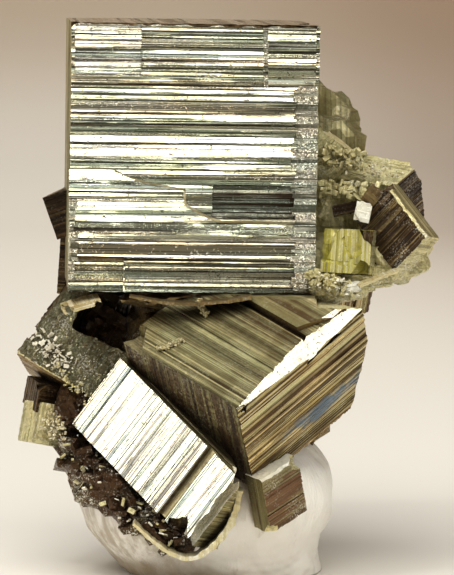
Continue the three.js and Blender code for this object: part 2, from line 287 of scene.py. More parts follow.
STEPPED_BLOCK = block(
    (1.2, -22.7, 23.7), (-142, 9, -135), (20, 21.9, 14.2), 2, "olive",
    {"-x": "golden", "-y": "bark", "+y": "brown", "+z": "bronze"},
    panels=(
        panel(((3.4, 13.8), (21, 13.8), (21, 23), (1.2, 23), (1.4, 18)), -0.6, "moss"),
        # a dark strip along the raised terrace's edge, painted as the shade of its step
        panel(((1.6, 13.1), (12.6, 13.2), (12.6, 13.9), (1.8, 13.85)), 0.35, "dark"),
    ),
    cuts=(
        # the bevel, swelling and thinning along its edge, and the ragged line under it
        chip((-0.53, 6.2, -0.53), (7, 45, 0), (7, 14, 3), "worn", grain=1, rough=0.012, wave=0.05),
        chip((-0.39, 17.4, -0.39), (-7, 45, 0), (7, 9.8, 3), "worn", grain=1, rough=0.012, wave=0.06),
        chip((0, 16.6, 1.65), (-6, 0, 0), (0.5, 10, 0.3), "dark", rough=0.12),
        chip((19, 1, -0.5), (20, 10, 50), (4, 3, 3), "moss"),
        chip((0.2, 1.2, 1), (25, 20, 30), (1, 0.8, 1.2), "rust"),
        # the side that narrows to the right, and what the big cube's foot has pushed away
        gap((14.7, -30, 19), (0, 13, 0), (12, 40, 15), "bronze"),
        gap((-22.69, -39.64, 74.87), (-89, -4, 1), (46, 39.1, 31.4), "moss"),
        gap((13.4, -37, 73.4), (-89, -4, 1), (16, 39.2, 50), "khaki"),
    ),
)
UNDER_BLOCK = block(
    (4.2, -17, 14.3), (-158, 9, -135), (3, 6.4, 7.7), 17, "khaki",
    {"-x": "chestnut", "-y": "moss", "-z": "pale"},
    cuts=(
        chip((0, 6.2, 0), (20, 20, 40), (1.6, 1.8, 3), "khaki"),
        chip((0, 0, 7.7), (20, 10, 40), (1.6, 1.6, 2), "khaki"),
        # a pale bevel along an edge, painted as its glint
        chip((0, 3, 0), (0, 42, 0), (0.5, 8, 0.6), "pale", rough=0.1),
    ),
)
BRIGHT_BLOCK = block(
    (1.6, -20.6, 14.9), (-104, 30, 133), (10.5, 23.2, 8), 3, "brown",
    {"-x": "olive", "-y": "olive", "+y": "bronze", "-z": "brilliant"},
    panels=(
        panel(((-1, 4.9), (11.5, 4.7), (11.5, 6.1), (-1, 6.2)), 0.85, "moss", broad=((4.9, 6, 0),)),
    ),
    cuts=(
        chip((10.4, 2.2, 0.1), (20, 25, 40), (2.8, 3.4, 2.2), "dark"),
        chip((5.2, -0.1, -0.1), (45, 0, 0), (12, 7, 1.2), "broken", rough=0.04),
        gap((2.3, -28, 2), (0, 6, 14), (12, 30, 20), "olive"),
    ),
)
LEFT_BLOCK = block(
    (-26.5, -0.7, 28.1), (-115, 8, -56), (12, 17.1, 9), 4, "bronze",
    {"+x": "olive", "-y": "olive", "-z": "sooty", "+z": "brown"},
    cuts=(
        chip((-0.3, -0.3, 1), (30, 0, 50), (1.2, 1.2, 5), "khaki"),
        chip((0, 8, 0), (0, 45, 0), (0.8, 17, 0.5), "khaki", rough=0.12),
        chip((6, -0.1, 0), (45, 0, 3), (14, 1, 0.8), "bark", rough=0.14),
        chip((3.4, 0, 0.6), (30, 10, 24), (1.6, 1, 3), "bark", rough=0.12),
        # the hollow under the big cube's overhang, its sides painted dark as its shade
        chip((10.6, 10.6, 1.4), (4, 6, -7), (6.6, 14, 7), "dark"),
    ),
)
RIGHT_CRYSTALS = (
    # roof crystal, dark diamond plate, wedge behind, honey-coloured crystal and two ledges
    block(
        (21.1, -0.9, 49.1), (-157, 6, -148), (12.5, 6.1, 9.5), 11, "khaki", {"-x": "sable"},
        cuts=(
            chip((0, 6.1, 0), (10, 30, 45), (2, 2, 4), "bark", rough=0.12),
            chip((6, 0, 0), (45, 0, 2), (14, 1.1, 1), "khaki", rough=0.14),
        ),
    ),
    block(
        (24.5, -7.5, 43.1), (-100, 34, 140), (6.3, 9.3, 3.3), 12, "khaki", {"-x": "moss", "-z": "sable"},
        cuts=(
            chip((0, 4.6, 0), (0, 44, 0), (0.5, 10, 0.4), "khaki", rough=0.08),
            chip((0.2, 9.2, 0), (20, 20, 42), (1.8, 1.8, 3), "bark"),
        ),
    ),
    block(
        (16.6, 3.4, 52.7), (174.4, -39.6, -177.8), (7.8, 8, 7.6), 13, "khaki", {"-z": "moss"},
        cuts=(
            chip((4, 0, 0), (45, 0, 3), (9, 1, 0.8), "rim", rough=0.14),
            chip((0, 0, 4), (0, 10, 42), (1.4, 1.4, 8), "khaki", rough=0.14),
        ),
    ),
    block(
        (17.8, -6.6, 43.8), (-96, 12, 93), (5.6, 6.2, 8), 14, "honey", {"+x": "dark", "-y": "khaki"},
        cuts=(
            chip((-0.3, 5.8, 0), (10, 20, 40), (3, 3, 3), "honey"),
            chip((5.4, 0.4, 0), (10, 10, 30), (2, 3, 3), "honey"),
            chip((0, 0, 0), (0, 20, 50), (2.6, 2.4, 3), "brown"),
            chip((4.2, 3.4, -0.2), (0, 8, 7), (0.5, 7, 0.8), "honey"),
            chip((2, 2.2, -0.3), (14, -8, -24), (3, 2.2, 1), "honey"),
            chip((2.2, 6, -0.2), (10, -12, 20), (3.4, 2, 1.6), "honey"),
        ),
    ),
    block((12.2, -5.2, 39.6), (-82, -14, -8), (8.6, 3.4, 8), 15, "khaki", {"-z": "brown"}),
    block((15.4, -4.4, 37.7), (-92, -20, -8), (5.4, 1.9, 6), 16, "khaki"),
    # pale facet whose whitish colour is a painted reflection, tan facet over it, a pale block at the foot
    # as a painted glint, dark slot and a pale ledge
    block(
        (16.6, -8.1, 46.1), (-89, -4, 12), (1.9, 2.5, 1.6), 22, "pale", start="middle",
        cuts=(
            chip((0, 0, 0), (0, 0, 40), (1.5, 1.5, 3), "pale"),
            chip((2.2, 0, 0), (0, 0, -40), (0.9, 1.2, 3), "pale"),
            chip((0, 2.6, 0), (0, 0, -36), (1.3, 1.9, 3), "pale"),
            chip((2.2, 2.6, 0), (0, 0, 20), (0.9, 1.6, 3), "pale"),
        ),
    ),
    block((17.8, -6.6, 48), (-66, 20, 35), (1.8, 1.7, 2), 23, "bronze", start="middle"),
    block((18.5, -8.4, 38.1), (-89, -4, -22), (5.4, 0.4, 3), 27, "rim", start="middle"),
    block((14.7, -5.2, 46.3), (-95, 10, -12), (3.4, 1.5, 2), 24, "dark", start="middle"),
    block((15.2, -7, 36.7), (-89, -4, -12), (2.5, 1.2, 2), 25, "pale", start="middle"),
)
LEFT_CRYSTALS = (
    # two under the left block, two behind the big cube, a pale crust under its corner
    block(
        (-23.2, -2, 24.2), (-84, -20, 12), (4.4, 3.6, 6), 18, "brown", {"-z": "dark"},
        cuts=(chip((0, 0, 0), (20, 30, 45), (1.4, 2.4, 3), "brown"),),
    ),
    block(
        (-22.3, -3.4, 22), (-92, -32, 12), (5, 5.2, 6), 19, "khaki",
        cuts=(
            chip((0, 5.2, 0), (20, 20, 40), (2.4, 2.2, 4), "khaki", rough=0.1),
            chip((2.6, 1, -0.4), (8, 14, 30), (3, 1.4, 1.6), "khaki", rough=0.1),
        ),
    ),
    block((-23.5, 7.4, 46.9), (-84, 16, -20), (8, 5.8, 9), 20, "brown", {"-z": "dark"}),
    block((-21.2, 9.5, 43.5), (-92, 6, 4), (8, 9, 8), 21, "brown"),
    block(
        (-18, -6.6, 34.7), (-80, -12, -13), (4.8, 0.9, 3), 26, "rim", start="middle",
        cuts=(
            chip((0, 0, 0), (0, 0, 35), (2.6, 0.9, 6), "rim"),
            chip((4.8, 0.9, 0), (0, 20, 30), (2, 0.7, 6), "rim"),
        ),
    ),
)
BACK_CRYSTALS = (
    block((5, 15.5, 27), (-60, 25, 30), (12, 12.6, 11), 31, "bright", start="middle"),
    block((-11.5, 14, 25), (-100, -20, 50), (9, 8.4, 9.4), 32, "olive", start="middle"),
    block((14, 11, 35.5), (-70, 40, 10), (7, 7.6, 7), 33, "golden", start="middle"),
    block((-4, 19, 40.5), (-120, 15, -25), (8, 7.4, 7), 34, "khaki", start="middle"),
    block((-15.5, 12.5, 33.5), (-80, 30, 20), (6.4, 6, 6.6), 35, "bronze", start="middle"),
    block((6.5, 9.5, 18), (-130, 20, 60), (7, 6.4, 7.4), 36, "bright", start="middle"),
    block((7.5, 18.5, 52), (-95, 24, 14), (6, 6.6, 6), 37, "honey", start="middle"),
    block((-12, 19, 56), (-70, -18, 32), (5.4, 5, 5.6), 38, "khaki", start="middle"),
)

# Finishes of the rough massive pyrite, and of the crumbs on it.
CRUSTS = ("massive", "rust", "khaki", "rim", "pale", "bronze", "moss")

# Rough massive pyrite between the crystals: middle, half sizes, seed and finish, in mm.
ROUGH_LUMPS = (
    ((0, 5, 26), (14, 12, 13), 3, "massive"),
    ((-9.5, -1.5, 14), (9, 7, 7), 5, "rust"),
    ((-14.5, -3.6, 12.8), (5.6, 4.6, 4.4), 7, "rust"),
    ((-6.5, -8.6, 8.6), (5.6, 4.8, 3.8), 17, "rust"),
    ((-2.6, -10.8, 9.4), (3, 4.2, 4), 19, "massive"),
    ((9.6, 9.4, 53.6), (7.9, 5.4, 7.8), 89, "moss"),
    ((-5.2, -1.6, 35.2), (7.6, 5, 1.8), 37, "bronze"),
    ((14, 1.5, 38.5), (6, 6, 4.4), 23, "khaki"),
    ((12, 11, 43.5), (5.6, 6, 8), 67, "khaki"),
    ((20.3, 0.6, 40.4), (5, 4.4, 3.8), 29, "khaki"),
    ((13.2, -3, 36.3), (4, 3.4, 1.9), 71, "khaki"),
    ((-13.2, -8, 12.8), (4, 3.4, 3), 79, "rust"),
    ((12.4, -5.4, 36.6), (2.6, 1.6, 1.2), 83, "khaki"),
    ((-18.6, -1.6, 21.2), (3, 4, 3.4), 73, "rust"),
)

# Thin ragged lips of crust in mm: path, widths at its ends, how far back they reach, seed, finish.
LIPS = (
    (
        (
            (-11.3, -16.6, 8.9), (-9.3, -16.8, 7.1), (-7.1, -17.2, 5.5), (-5.1, -17.6, 4.8),
            (-3.6, -17.8, 5), (-2, -17.8, 6.1), (-0.6, -17.7, 7.5), (0.5, -17.5, 9.1), (1.2, -17.3, 11),
            (1.5, -17.1, 13),
        ),
        (0.3, 0.9), 3.6, 101, "rim",
    ),
    (
        ((-11.9, -10.6, 35.9), (-8, -10.8, 35.2), (-4, -10.9, 35), (0, -10.8, 35.3), (3, -10.6, 35.8)),
        (0.25, 0.5), 3, 103, "bronze",
    ),
)

# Rubble strewn between two points: start, end, count, least and greatest size, how far strewn, how
# flat, seed and finish. Broken crystals, flakes, and the crumbs on them, in mm.
RUBBLE = (
    ((-18.9, -3.8, 16.4), (-14, -7.8, 11.8), 34, (1.4, 3.6), 1.8, 0.45, 41, "rust"),
    ((-13.2, -8.4, 10.8), (-5.2, -13.4, 6.4), 50, (1.4, 3.6), 1.8, 0.45, 43, "rust"),
    ((-18.9, -5.6, 16.2), (-6.6, -14.6, 6.6), 90, (0.2, 1.1), 1.9, 0.3, 44, "khaki"),
    ((-18.6, -6.4, 15.6), (-6.6, -15, 6.6), 60, (0.15, 0.6), 1.8, 0.35, 45, "pale"),
    ((22.4, -2, 41.4), (18, -1.6, 37.8), 14, (1.2, 3.4), 1, 0.8, 47, "khaki"),
    ((15.4, -3.4, 37), (11.4, -4.6, 37.6), 14, (0.8, 2.4), 0.9, 0.7, 53, "khaki"),
    ((-2.4, -9.4, 33.6), (-3.6, -8.6, 35.2), 60, (0.15, 0.5), 0.3, 0.6, 54, "rim"),
    ((-5.1, -12.1, 30.8), (-8.3, -12.9, 29.7), 40, (0.15, 0.45), 0.3, 0.6, 55, "rim"),
    ((-23.4, -0.8, 29.8), (-19.9, -2.7, 26.6), 110, (0.12, 0.6), 1.2, 0.4, 56, "pale"),
    ((-21.4, -3.2, 26.6), (-14.4, -8.4, 20.4), 70, (0.12, 0.45), 0.7, 0.5, 57, "khaki"),
    ((-22.4, -7.4, 20.6), (-20.6, -8, 18.6), 60, (0.12, 0.5), 1, 0.5, 58, "rim"),
    # the granular slope between the wedge and the roof crystal, and the crumbs on the roof
    ((11.8, -0.6, 48.6), (18, -2.2, 48.2), 70, (0.3, 1.1), 0.9, 0.7, 62, "khaki"),
    ((12.4, 0.6, 52.6), (16.4, 0.4, 52.2), 80, (0.3, 1), 1.1, 0.7, 63, "khaki"),
    ((11.8, 0.2, 52), (22, 0.4, 50.4), 90, (0.12, 0.36), 0.9, 0.6, 64, "rim"),
    ((10.6, -7.6, 38.2), (15, -7.4, 36.4), 80, (0.3, 1), 0.8, 0.6, 65, "khaki"),
    ((10.6, -8.2, 38), (15.4, -8, 36.4), 50, (0.12, 0.4), 0.9, 0.6, 66, "pale"),
    ((-8, 15.5, 34), (8, 17.5, 34), 12, (2.4, 5.4), 2.2, 0.9, 59, "massive"),
    ((-13, 8, 21), (8, 15, 21), 10, (2.4, 5.4), 1.8, 0.9, 61, "massive"),
)

# Putty in mm: where the lump's axis stands, its outline as distance from the axis and height, how far
# its foot spreads at the right, and how many points go round it and up it.
PUTTY_AXIS = (-2.6, 3.4)
PUTTY_OUTLINE = (
    (10.2, 0), (11.2, 1.2), (12.9, 3), (15, 5), (16.4, 7.4), (16.9, 9.9),
    (16.6, 12.4), (15.4, 14.8), (12.8, 16.8), (8.4, 18.2), (4, 18.8), (0.6, 19),
)
PUTTY_FOOT = 14.6
PUTTY_SIDES = 220
PUTTY_RINGS = 130

# The camera: what it looks at, how far off it stands, how high in degrees, and its lens, in mm.
FOCUS = (0.08, -10.74, 37)
CAMERA_DISTANCE = 400
CAMERA_ELEVATION = 5
CAMERA_LENS = 205.4

# The studio's lights: azimuth from the camera's side and elevation in degrees, distance and size in
# metres, and tint.
LIGHTS = {
    "front": (5, -4, 0.45, (0.20, 0.038), (1, 0.99, 0.96)),
    "low": (7, -11, 0.45, (0.24, 0.03), (1, 0.93, 0.82)),
    "high": (4, 5, 0.45, (0.24, 0.05), (0.86, 0.95, 1)),
    "left": (-63, 14, 0.5, (0.22, 0.16), (1, 0.98, 0.94)),
    "right": (49, 28, 0.5, (0.26, 0.26), (1, 0.97, 0.92)),
    "top": (180, 78, 0.7, (0.5, 0.5), (1, 0.97, 0.9)),
    "spark": (-36, 58, 0.7, (0.05, 0.05), (1, 0.98, 0.94)),
    "room": (-20, 60, 0.9, (0.8, 0.8), (1, 0.97, 0.93)),
    "back": (180, 50, 0.75, (0.4, 0.4), (1, 0.96, 0.9)),
}


def length(name, description, value, low, high):
    """A length that the user can change, given in mm."""
    return FloatProperty(
        name=name, description=description, default=value * MM, min=low * MM, max=high * MM, precision=5,
        unit="LENGTH",
    )


def colour(name, description, value):
    """A colour that the user can change."""
    return FloatVectorProperty(
        name=name, description=description, subtype="COLOR", size=3, min=0, max=1, default=value,
    )


def watts(name, description, value):
    """A light's strength that the user can change."""
    return FloatProperty(name=name, description=description, default=value, min=0, unit="POWER")


class SpecimenSizes(bpy.types.PropertyGroup):
    """Sizes of the growth ledges, of the etching and of the putty's waves."""

    ledge_width: length("Ledge width", "Middling width of a growth ledge on a bright face", 0.34, 0.1, 2)
    ledge_depth: length("Ledge depth", "How far the ledges step in and out", 0.16, 0, 1)
    riser_width: length("Riser width", "Width of the slanting step between two ledges", 0.05, 0.01, 0.5)
    ledge_tilt: FloatProperty(
        name="Ledge tilt", description="How far a ledge leans out of its face",
        default=math.radians(2.6), min=0, max=math.radians(20), unit="ROTATION",
    )
    etch_depth: length("Etch depth", "Unevenness of an etched face", 0.035, 0, 0.3)
    etch_grain: length("Etch grain", "Size of the facets of an etched face", 0.4, 0.2, 3)
    putty_swell: length("Putty swell", "How far the putty's soft waves go in and out", 0.5, 0, 3)


class SpecimenColours(bpy.types.PropertyGroup):
    """Colours of the pyrite's finishes, of the putty and of the stage."""

    brass: colour("Brass", "Clean pyrite", (0.70, 0.67, 0.50))
    silver: colour("Silver", "Freshly broken or polished pyrite", (0.88, 0.86, 0.74))
    smoke: colour("Smoke", "Greyed pyrite", (0.32, 0.335, 0.28))
    straw: colour("Straw", "Pale yellow light on ledges", (0.68, 0.60, 0.34))
    gold: colour("Gold", "Golden tarnish", (0.50, 0.38, 0.17))
    bronze: colour("Bronze", "Brown and gold tarnish", (0.30, 0.21, 0.09))
    olive: colour("Olive", "Olive tarnish", (0.30, 0.27, 0.13))
    khaki: colour("Khaki", "Pale olive tarnish", (0.76, 0.70, 0.37))
    honey: colour("Honey", "Yellow-green tarnish", (0.50, 0.45, 0.06))
    slate: colour("Slate", "Green-grey tarnish", (0.22, 0.215, 0.135))
    umber: colour("Umber", "Dark brown tarnish", (0.12, 0.075, 0.035))
    # Soot also paints the shade in the pyrite's hollows.
    soot: colour("Soot", "Nearly black tarnish", (0.035, 0.022, 0.014))
    steel: colour("Steel", "Bluish shade between brilliant ledges", (0.34, 0.36, 0.36))
    gloom: colour("Gloom", "Grey-green shade between bright ledges", (0.13, 0.135, 0.10))
    rust: colour("Rust", "Reddish brown crust", (0.085, 0.045, 0.022))
    chestnut: colour("Chestnut", "Reddish brown tarnish", (0.19, 0.095, 0.045))
    peacock: colour("Peacock", "Blue iridescent patch", (0.10, 0.15, 0.20))
    putty: colour("Putty", "Mineral tack", (0.95, 0.92, 0.85))
    # Putty stain also paints the putty's shade and the crystal's shadow on it.
    putty_stain_and_shade: colour("Putty stain", "Brown stain where the pyrite presses in", (0.30, 0.22, 0.12))
    floor: colour("Floor", "Pale floor", (0.60, 0.58, 0.53))
    wall: colour("Wall", "Brownish wall behind", (0.36, 0.295, 0.225))
    apron: colour("Apron", "Dark floor in front, which the crystals mirror", (0.07, 0.065, 0.05))


class SpecimenLights(bpy.types.PropertyGroup):
    """Strengths of the studio's lights, in watts."""

    front: watts("Front", "Narrow strip light in front", 0.22)
    low: watts("Low", "Dimmer strip under the front one", 0.05)
    high: watts("High", "Dim card over the front strip", 0.03)
    left: watts("Left", "Soft box at the left", 0.36)
    right: watts("Right", "Soft box high at the right", 0.6)
    top: watts("Top", "Wide soft box overhead", 0.35)
    spark: watts("Spark", "Small hard light that makes facets glint", 0.6)
    room: watts("Room", "Light on the putty and the floor alone", 14.5)
    back: watts("Back", "Light on the wall alone", 2.5)


class SpecimenSettings(bpy.types.PropertyGroup):
    """All that can be changed before the specimen is built."""

    sizes: PointerProperty(type=SpecimenSizes)
    colours: PointerProperty(type=SpecimenColours)
    lights: PointerProperty(type=SpecimenLights)


def settings():
    """The scene's settings."""
    return bpy.context.scene.specimen


# Solids


def solid(name, points, faces, kinds, tones=50):
    """A mesh object of points in mm whose faces each have a kind, and a tone from 0 to 100."""
    mesh = bpy.data.meshes.new(name)
    mesh.from_pydata([tuple(point) for point in points], [], faces)
    for title, values in (("kind", kinds), ("tone", tones)):
        layer = mesh.attributes.new(title, "INT", "FACE")
        layer.data.foreach_set("value", np.full(len(faces), values, np.int32))
    body = bpy.data.objects.new(name, mesh)
    bpy.context.scene.collection.objects.link(body)
    return body


def discard(body):
    """Removes an object and its mesh."""
    mesh = body.data
    bpy.data.objects.remove(body)
    bpy.data.meshes.remove(mesh)


def combine(body, operation, *others):
    """The body with others joined to it, taken from it or held in common. The others are used up."""
    for other in others:
        modifier = body.modifiers.new("combine", "BOOLEAN")
        modifier.solver = "MANIFOLD"
        modifier.operation = operation
        modifier.material_mode = "TRANSFER"
        modifier.object = other
    depsgraph = bpy.context.evaluated_depsgraph_get()
    mesh = bpy.data.meshes.new_from_object(body.evaluated_get(depsgraph))
    if not mesh.polygons:
        raise RuntimeError(f"{body.name}: nothing is left after {operation.lower()}")
    body.modifiers.clear()
    used = body.data
    body.data = mesh
    bpy.data.meshes.remove(used)
    for other in others:
        discard(other)
    return body


def placement(spec):
    """The matrix from a box's own axes, from its first corner, to the axes it is placed in, in mm."""
    x, y, z = (math.radians(angle) for angle in spec["turn"])
    turned = Matrix.Rotation(x, 4, "X") @ Matrix.Rotation(y, 4, "Y") @ Matrix.Rotation(z, 4, "Z")
    if "corner" in spec:
        start = Vector(spec["corner"])
    else:
        start = Vector(spec["middle"]) - turned.to_3x3() @ (Vector(spec["size"]) / 2)
    return Matrix.Translation(start) @ turned


def quads(grid):
    """The faces between the points of a grid."""
    return np.stack([grid[:-1, :-1], grid[1:, :-1], grid[1:, 1:], grid[:-1, 1:]], -1).reshape(-1, 4)


def taken(builder):
    """A bmesh's points and faces. The bmesh is used up."""
    mesh = bpy.data.meshes.new("taken")
    builder.to_mesh(mesh)
    builder.free()
    points = read(mesh.vertices, "co", 3)
    faces = [tuple(face.vertices) for face in mesh.polygons]
    bpy.data.meshes.remove(mesh)
    return points, faces


def read(collection, name, width, kind=np.float64):
    """One property of all of a mesh's elements as an array."""
    values = np.zeros(len(collection) * width, kind)
    collection.foreach_get(name, values)
    return values.reshape(-1, width) if width > 1 else values


# Striated crystals


def relief_sizes(name):
    """A relief's sizes in mm, and its tilt as a slope."""
    sizes, share = settings().sizes, RELIEFS[name]
    return dict(
        width=share["width"] * sizes.ledge_width / MM,
        depth=share["depth"] * sizes.ledge_depth / MM,
        riser=share["riser"] * sizes.riser_width / MM,
        tilt=share["tilt"] * math.tan(sizes.ledge_tilt),
        etch=share["etch"] * sizes.etch_depth / MM,
        grain=share["grain"] * sizes.etch_grain / MM,
    )


def ledge_rows(span, relief, broad, random):
    """Where each ledge across a face starts and ends, and its tilt where it is given."""
    rows, tilts, planned, at = [], [], sorted(broad), -MARGIN
    while at < span + MARGIN:
        if planned and at > planned[0][0] - 2 * relief["riser"]:
            at, end, tilt = planned.pop(0)
        else:
            share = min(random.lognormal(-0.2, 0.65), 2.6)
            end, tilt = at + relief["width"] * share, math.nan
            if planned:
                end = min(end, planned[0][0] - relief["riser"])
        rows += [at, end]
        tilts.append(tilt)
        at = end + relief["riser"] * random.uniform(0.6, 1.6)
    return np.array(rows), np.array(tilts)


def waves(count, stations, shortest, random):
    """Smooth curves from about -1 to 1 along the stations."""
    total = np.zeros((count, len(stations)))
    for stretch in (1, 2.3):
        wavelength = shortest * stretch * random.uniform(0.8, 1.6, (count, 1))
        total += np.sin(2 * math.pi * (stations / wavelength + random.random((count, 1))))
    return total / 2


def ledge_depths(rows, tilts, stations, relief, lean, random):
    """How far in each ledge's start and end lie, at every station along it."""
    count = len(tilts)
    widths = (rows[1::2] - rows[::2])[:, None]
    walk = np.cumsum(random.normal(0, 0.45, count))
    level = relief["depth"] * np.abs((walk % 2) - 1)[:, None]
    given = ~np.isnan(tilts)
    own = np.where(given, np.nan_to_num(tilts), lean + random.normal(0, relief["tilt"], count))[:, None]
    free = np.where(given, 0.25, 1)[:, None]
    broken = stations > random.uniform(-1, 2, (count, 1)) * stations[-1]
    level = level + relief["depth"] * 0.1 * waves(count, stations, 9, random)
    level = level + broken * random.normal(0, relief["depth"] * 0.16, (count, 1))
    slope = own + free * relief["tilt"] * 0.25 * waves(count, stations, 16, random)
    slope = slope + free * broken * random.normal(0, relief["tilt"] * 0.6, (count, 1))
    depths = np.empty((2 * count, len(stations)))
    depths[::2] = level - slope * widths / 2
    depths[1::2] = level + slope * widths / 2
    depths += random.normal(0, relief["etch"], depths.shape)
    return np.maximum(depths, 0)


def ledge_tones(ledges, stations, painted_falloff, random):
    """How light each stretch of each ledge is, from 0 to 100: its own tone at random, lighter at its start
    and darker at its end as painted shade, with the risers between the ledges painted dark as their shade.
    """
    share = (stations[:-1] / stations[-1])[None, :]
    own = random.beta(0.9, 0.8, (ledges, 1)) * 100
    later = share > random.uniform(0.1, 1.6, (ledges, 1))
    # painted shade: each ledge lighter at its start and darker at its end
    ledge = own + later * random.normal(0, 22, (ledges, 1)) + painted_falloff * (0.5 - share) * 100
    tones = np.empty((2 * ledges - 1, len(stations) - 1))
    tones[::2] = ledge
    # the risers between the ledges are painted dark, as their shade
    tones[1::2] = random.uniform(0, 34, (ledges - 1, 1))
    return np.clip(tones, 0, 100).astype(np.int32)


def bar(axis, size, reliefs, random, lean=0, broad=(), depth=0, kinds=None, painted_falloff=0):
    """A closed bar along one of a crystal's axes, ledged on its first and last side across another."""
    across, deep = (axis + 1) % 3, (axis + 2) % 3
    low, high = reliefs
    rows, tilts = ledge_rows(size[across], low, broad, random)
    steps = max(4, round((size[axis] + 2 * MARGIN) / low["grain"]))
    stations = np.linspace(-MARGIN, size[axis] + MARGIN, steps)
    first = depth + ledge_depths(rows, tilts, stations, low, lean, random)
    last = size[deep] - ledge_depths(rows, np.full(len(tilts), np.nan), stations, high, 0, random)
    count = first.size
    points = np.empty((2 * count, 3))
    points[:, axis] = np.tile(stations, 2 * len(rows))
    points[:, across] = np.tile(np.repeat(rows, len(stations)), 2)
    points[:count, deep] = first.ravel()
    points[count:, deep] = last.ravel()
    grid = np.arange(count).reshape(first.shape)
    far = grid + count
    sheets = [quads(grid), quads(far)[:, [0, 3, 2, 1]]]
    walls = [
        np.stack([grid[0, :-1], grid[0, 1:], far[0, 1:], far[0, :-1]], -1),
        np.stack([grid[-1, :-1], far[-1, :-1], far[-1, 1:], grid[-1, 1:]], -1),
        np.stack([grid[:-1, 0], far[:-1, 0], far[1:, 0], grid[1:, 0]], -1),
        np.stack([grid[:-1, -1], grid[1:, -1], far[1:, -1], far[:-1, -1]], -1),
    ]
    faces = np.concatenate(sheets + walls)
    near_kind, far_kind = kinds or (2 * deep, 2 * deep + 1)
    kind = np.full(len(faces), far_kind)
    kind[: len(sheets[0])] = near_kind
    tones = np.full(len(faces), 50, np.int32)
    for number in range(2):
        tone = ledge_tones(len(tilts), stations, painted_falloff, random).ravel()
        tones[number * tone.size:(number + 1) * tone.size] = tone
    return solid("bar", points, faces.tolist(), kind, tones)


def toothed(outline, edge, reach, random):
    """An outline whose edge at one x breaks into teeth, where ledges run out at their own lengths."""
    ring = []
    for (x0, y0), (x1, y1) in zip(outline, outline[1:] + outline[:1]):
        ring.append((x0, y0))
        if x0 != edge or x1 != edge:
            continue
        way = math.copysign(1, y1 - y0)
        at = y0 + 0.1 * way
        while (y1 - at) * way > 1:
            x, end = edge + reach * random.uniform(0, 1), at + way * random.uniform(0.12, 0.75)
            ring += [(x, at), (x, end)]
            at = end + 0.03 * way
    return tuple(ring)


def prism(outline, low, high, grow=0):
    """A growth panel's prism from one depth to another, grown a little all round."""
    middle = np.mean(outline, axis=0)
    ring = [np.array(point) + grow * np.sign(np.array(point) - middle) for point in outline]
    count = len(ring)
    points = [(x, y, low) for x, y in ring] + [(x, y, high) for x, y in ring]
    sides = [(i, (i + 1) % count, (i + 1) % count + count, i + count) for i in range(count)]
    faces = [tuple(reversed(range(count))), tuple(range(count, 2 * count)), *sides]
    body = solid("prism", points, faces, STEP)
    area = sum(x0 * y1 - x1 * y0 for (x0, y0), (x1, y1) in zip(ring, ring[1:] + ring[:1]))
    if area < 0:
        body.data.flip_normals()
    return body


def rough_box(spec, random, kind):
    """A box with uneven, broken sides, in the axes that its place is given in."""
    size = np.array(spec["size"], float)
    cells = np.clip(np.round(size / spec["grain"]), 2, 40).astype(int)
    spots = np.indices(cells + 1).reshape(3, -1).T
    outer = ((spots == 0) | (spots == cells)).any(axis=1)
    index = np.full(cells + 1, -1)
    index[tuple(spots[outer].T)] = np.arange(outer.sum())
    step = size / cells
    points = spots[outer] * step
    points += random.normal(0, np.minimum(spec["rough"], step / 6), points.shape)
    points += spec["wave"] * np.sin(points[:, [1, 2, 0]] * 1.7 + random.uniform(0, 6, 3))
    place = np.array(placement(spec))
    points = points @ place[:3, :3].T + place[:3, 3]
    faces = []
    for axis in range(3):
        for end, flip in ((0, axis != 1), (-1, axis == 1)):
            sheet = quads(np.take(index, end, axis))
            faces += (sheet[:, ::-1] if flip else sheet).tolist()
    return solid("rough box", points, faces, kind)


def crystal(spec):
    """A striated crystal in its place, in metres: three ledged bars in common, its panels and cuts."""
    random = np.random.default_rng(spec["seed"])
    size = spec["size"]
    sized = [relief_sizes(FINISHES[finish]["relief"]) for finish in spec["sides"]]
    bars = []
    for axis in range(3):
        deep = 2 * ((axis + 2) % 3)
        broad, painted_falloff = (spec["broad"], spec["painted_falloff"]) if axis == 0 else ((), 0)
        bars.append(bar(axis, size, sized[deep:deep + 2], random, broad=broad, painted_falloff=painted_falloff))
    body = combine(bars[0], "INTERSECT", bars[1], bars[2])
    own = []
    for part in spec["panels"]:
        outline = part["outline"]
        if part["teeth"]:
            outline = toothed(outline, *part["teeth"], random)
        body = combine(body, "DIFFERENCE", prism(outline, -1, part["depth"] + 0.9))
        relief = relief_sizes(FINISHES[part["finish"]]["relief"])
        slab = bar(
            0, (size[0] + 1, size[1] + 1, 3), (relief, relief), random, part["lean"], part["broad"],
            part["depth"], (PANEL + len(own), STEP), part["painted_falloff"],
        )
        slab = combine(slab, "INTERSECT", prism(outline, -2, 2.4, grow=0.01))
        edges = bar(1, size, sized[:2], random)
        ends = bar(2, size, sized[2:4], random)
        slab = combine(slab, "INTERSECT", stretched(edges), stretched(ends))
        body = combine(body, "UNION", slab)
        own.append(part["finish"])
    cuts = []
    for part in spec["cuts"]:
        cuts.append(rough_box(part, random, PANEL + len(own)))
        own.append(part["finish"])
        if "corner" in part:
            cuts[-1].data.transform(placement(spec).inverted())
    if cuts:
        body = combine(body, "DIFFERENCE", *cuts)
    dress(body, [*spec["sides"], "bronze", *own], random)
    body.data.transform(GROWTH @ placement(spec))
    return body


def stretched(body):
    """A bar drawn out towards the front, so that it also cuts what stands proud there."""
    points = read(body.data.vertices, "co", 3)
    points[:, 2] = np.where(points[:, 2] < 0, points[:, 2] - 1, points[:, 2])
    body.data.vertices.foreach_set("co", points.ravel())
    return body


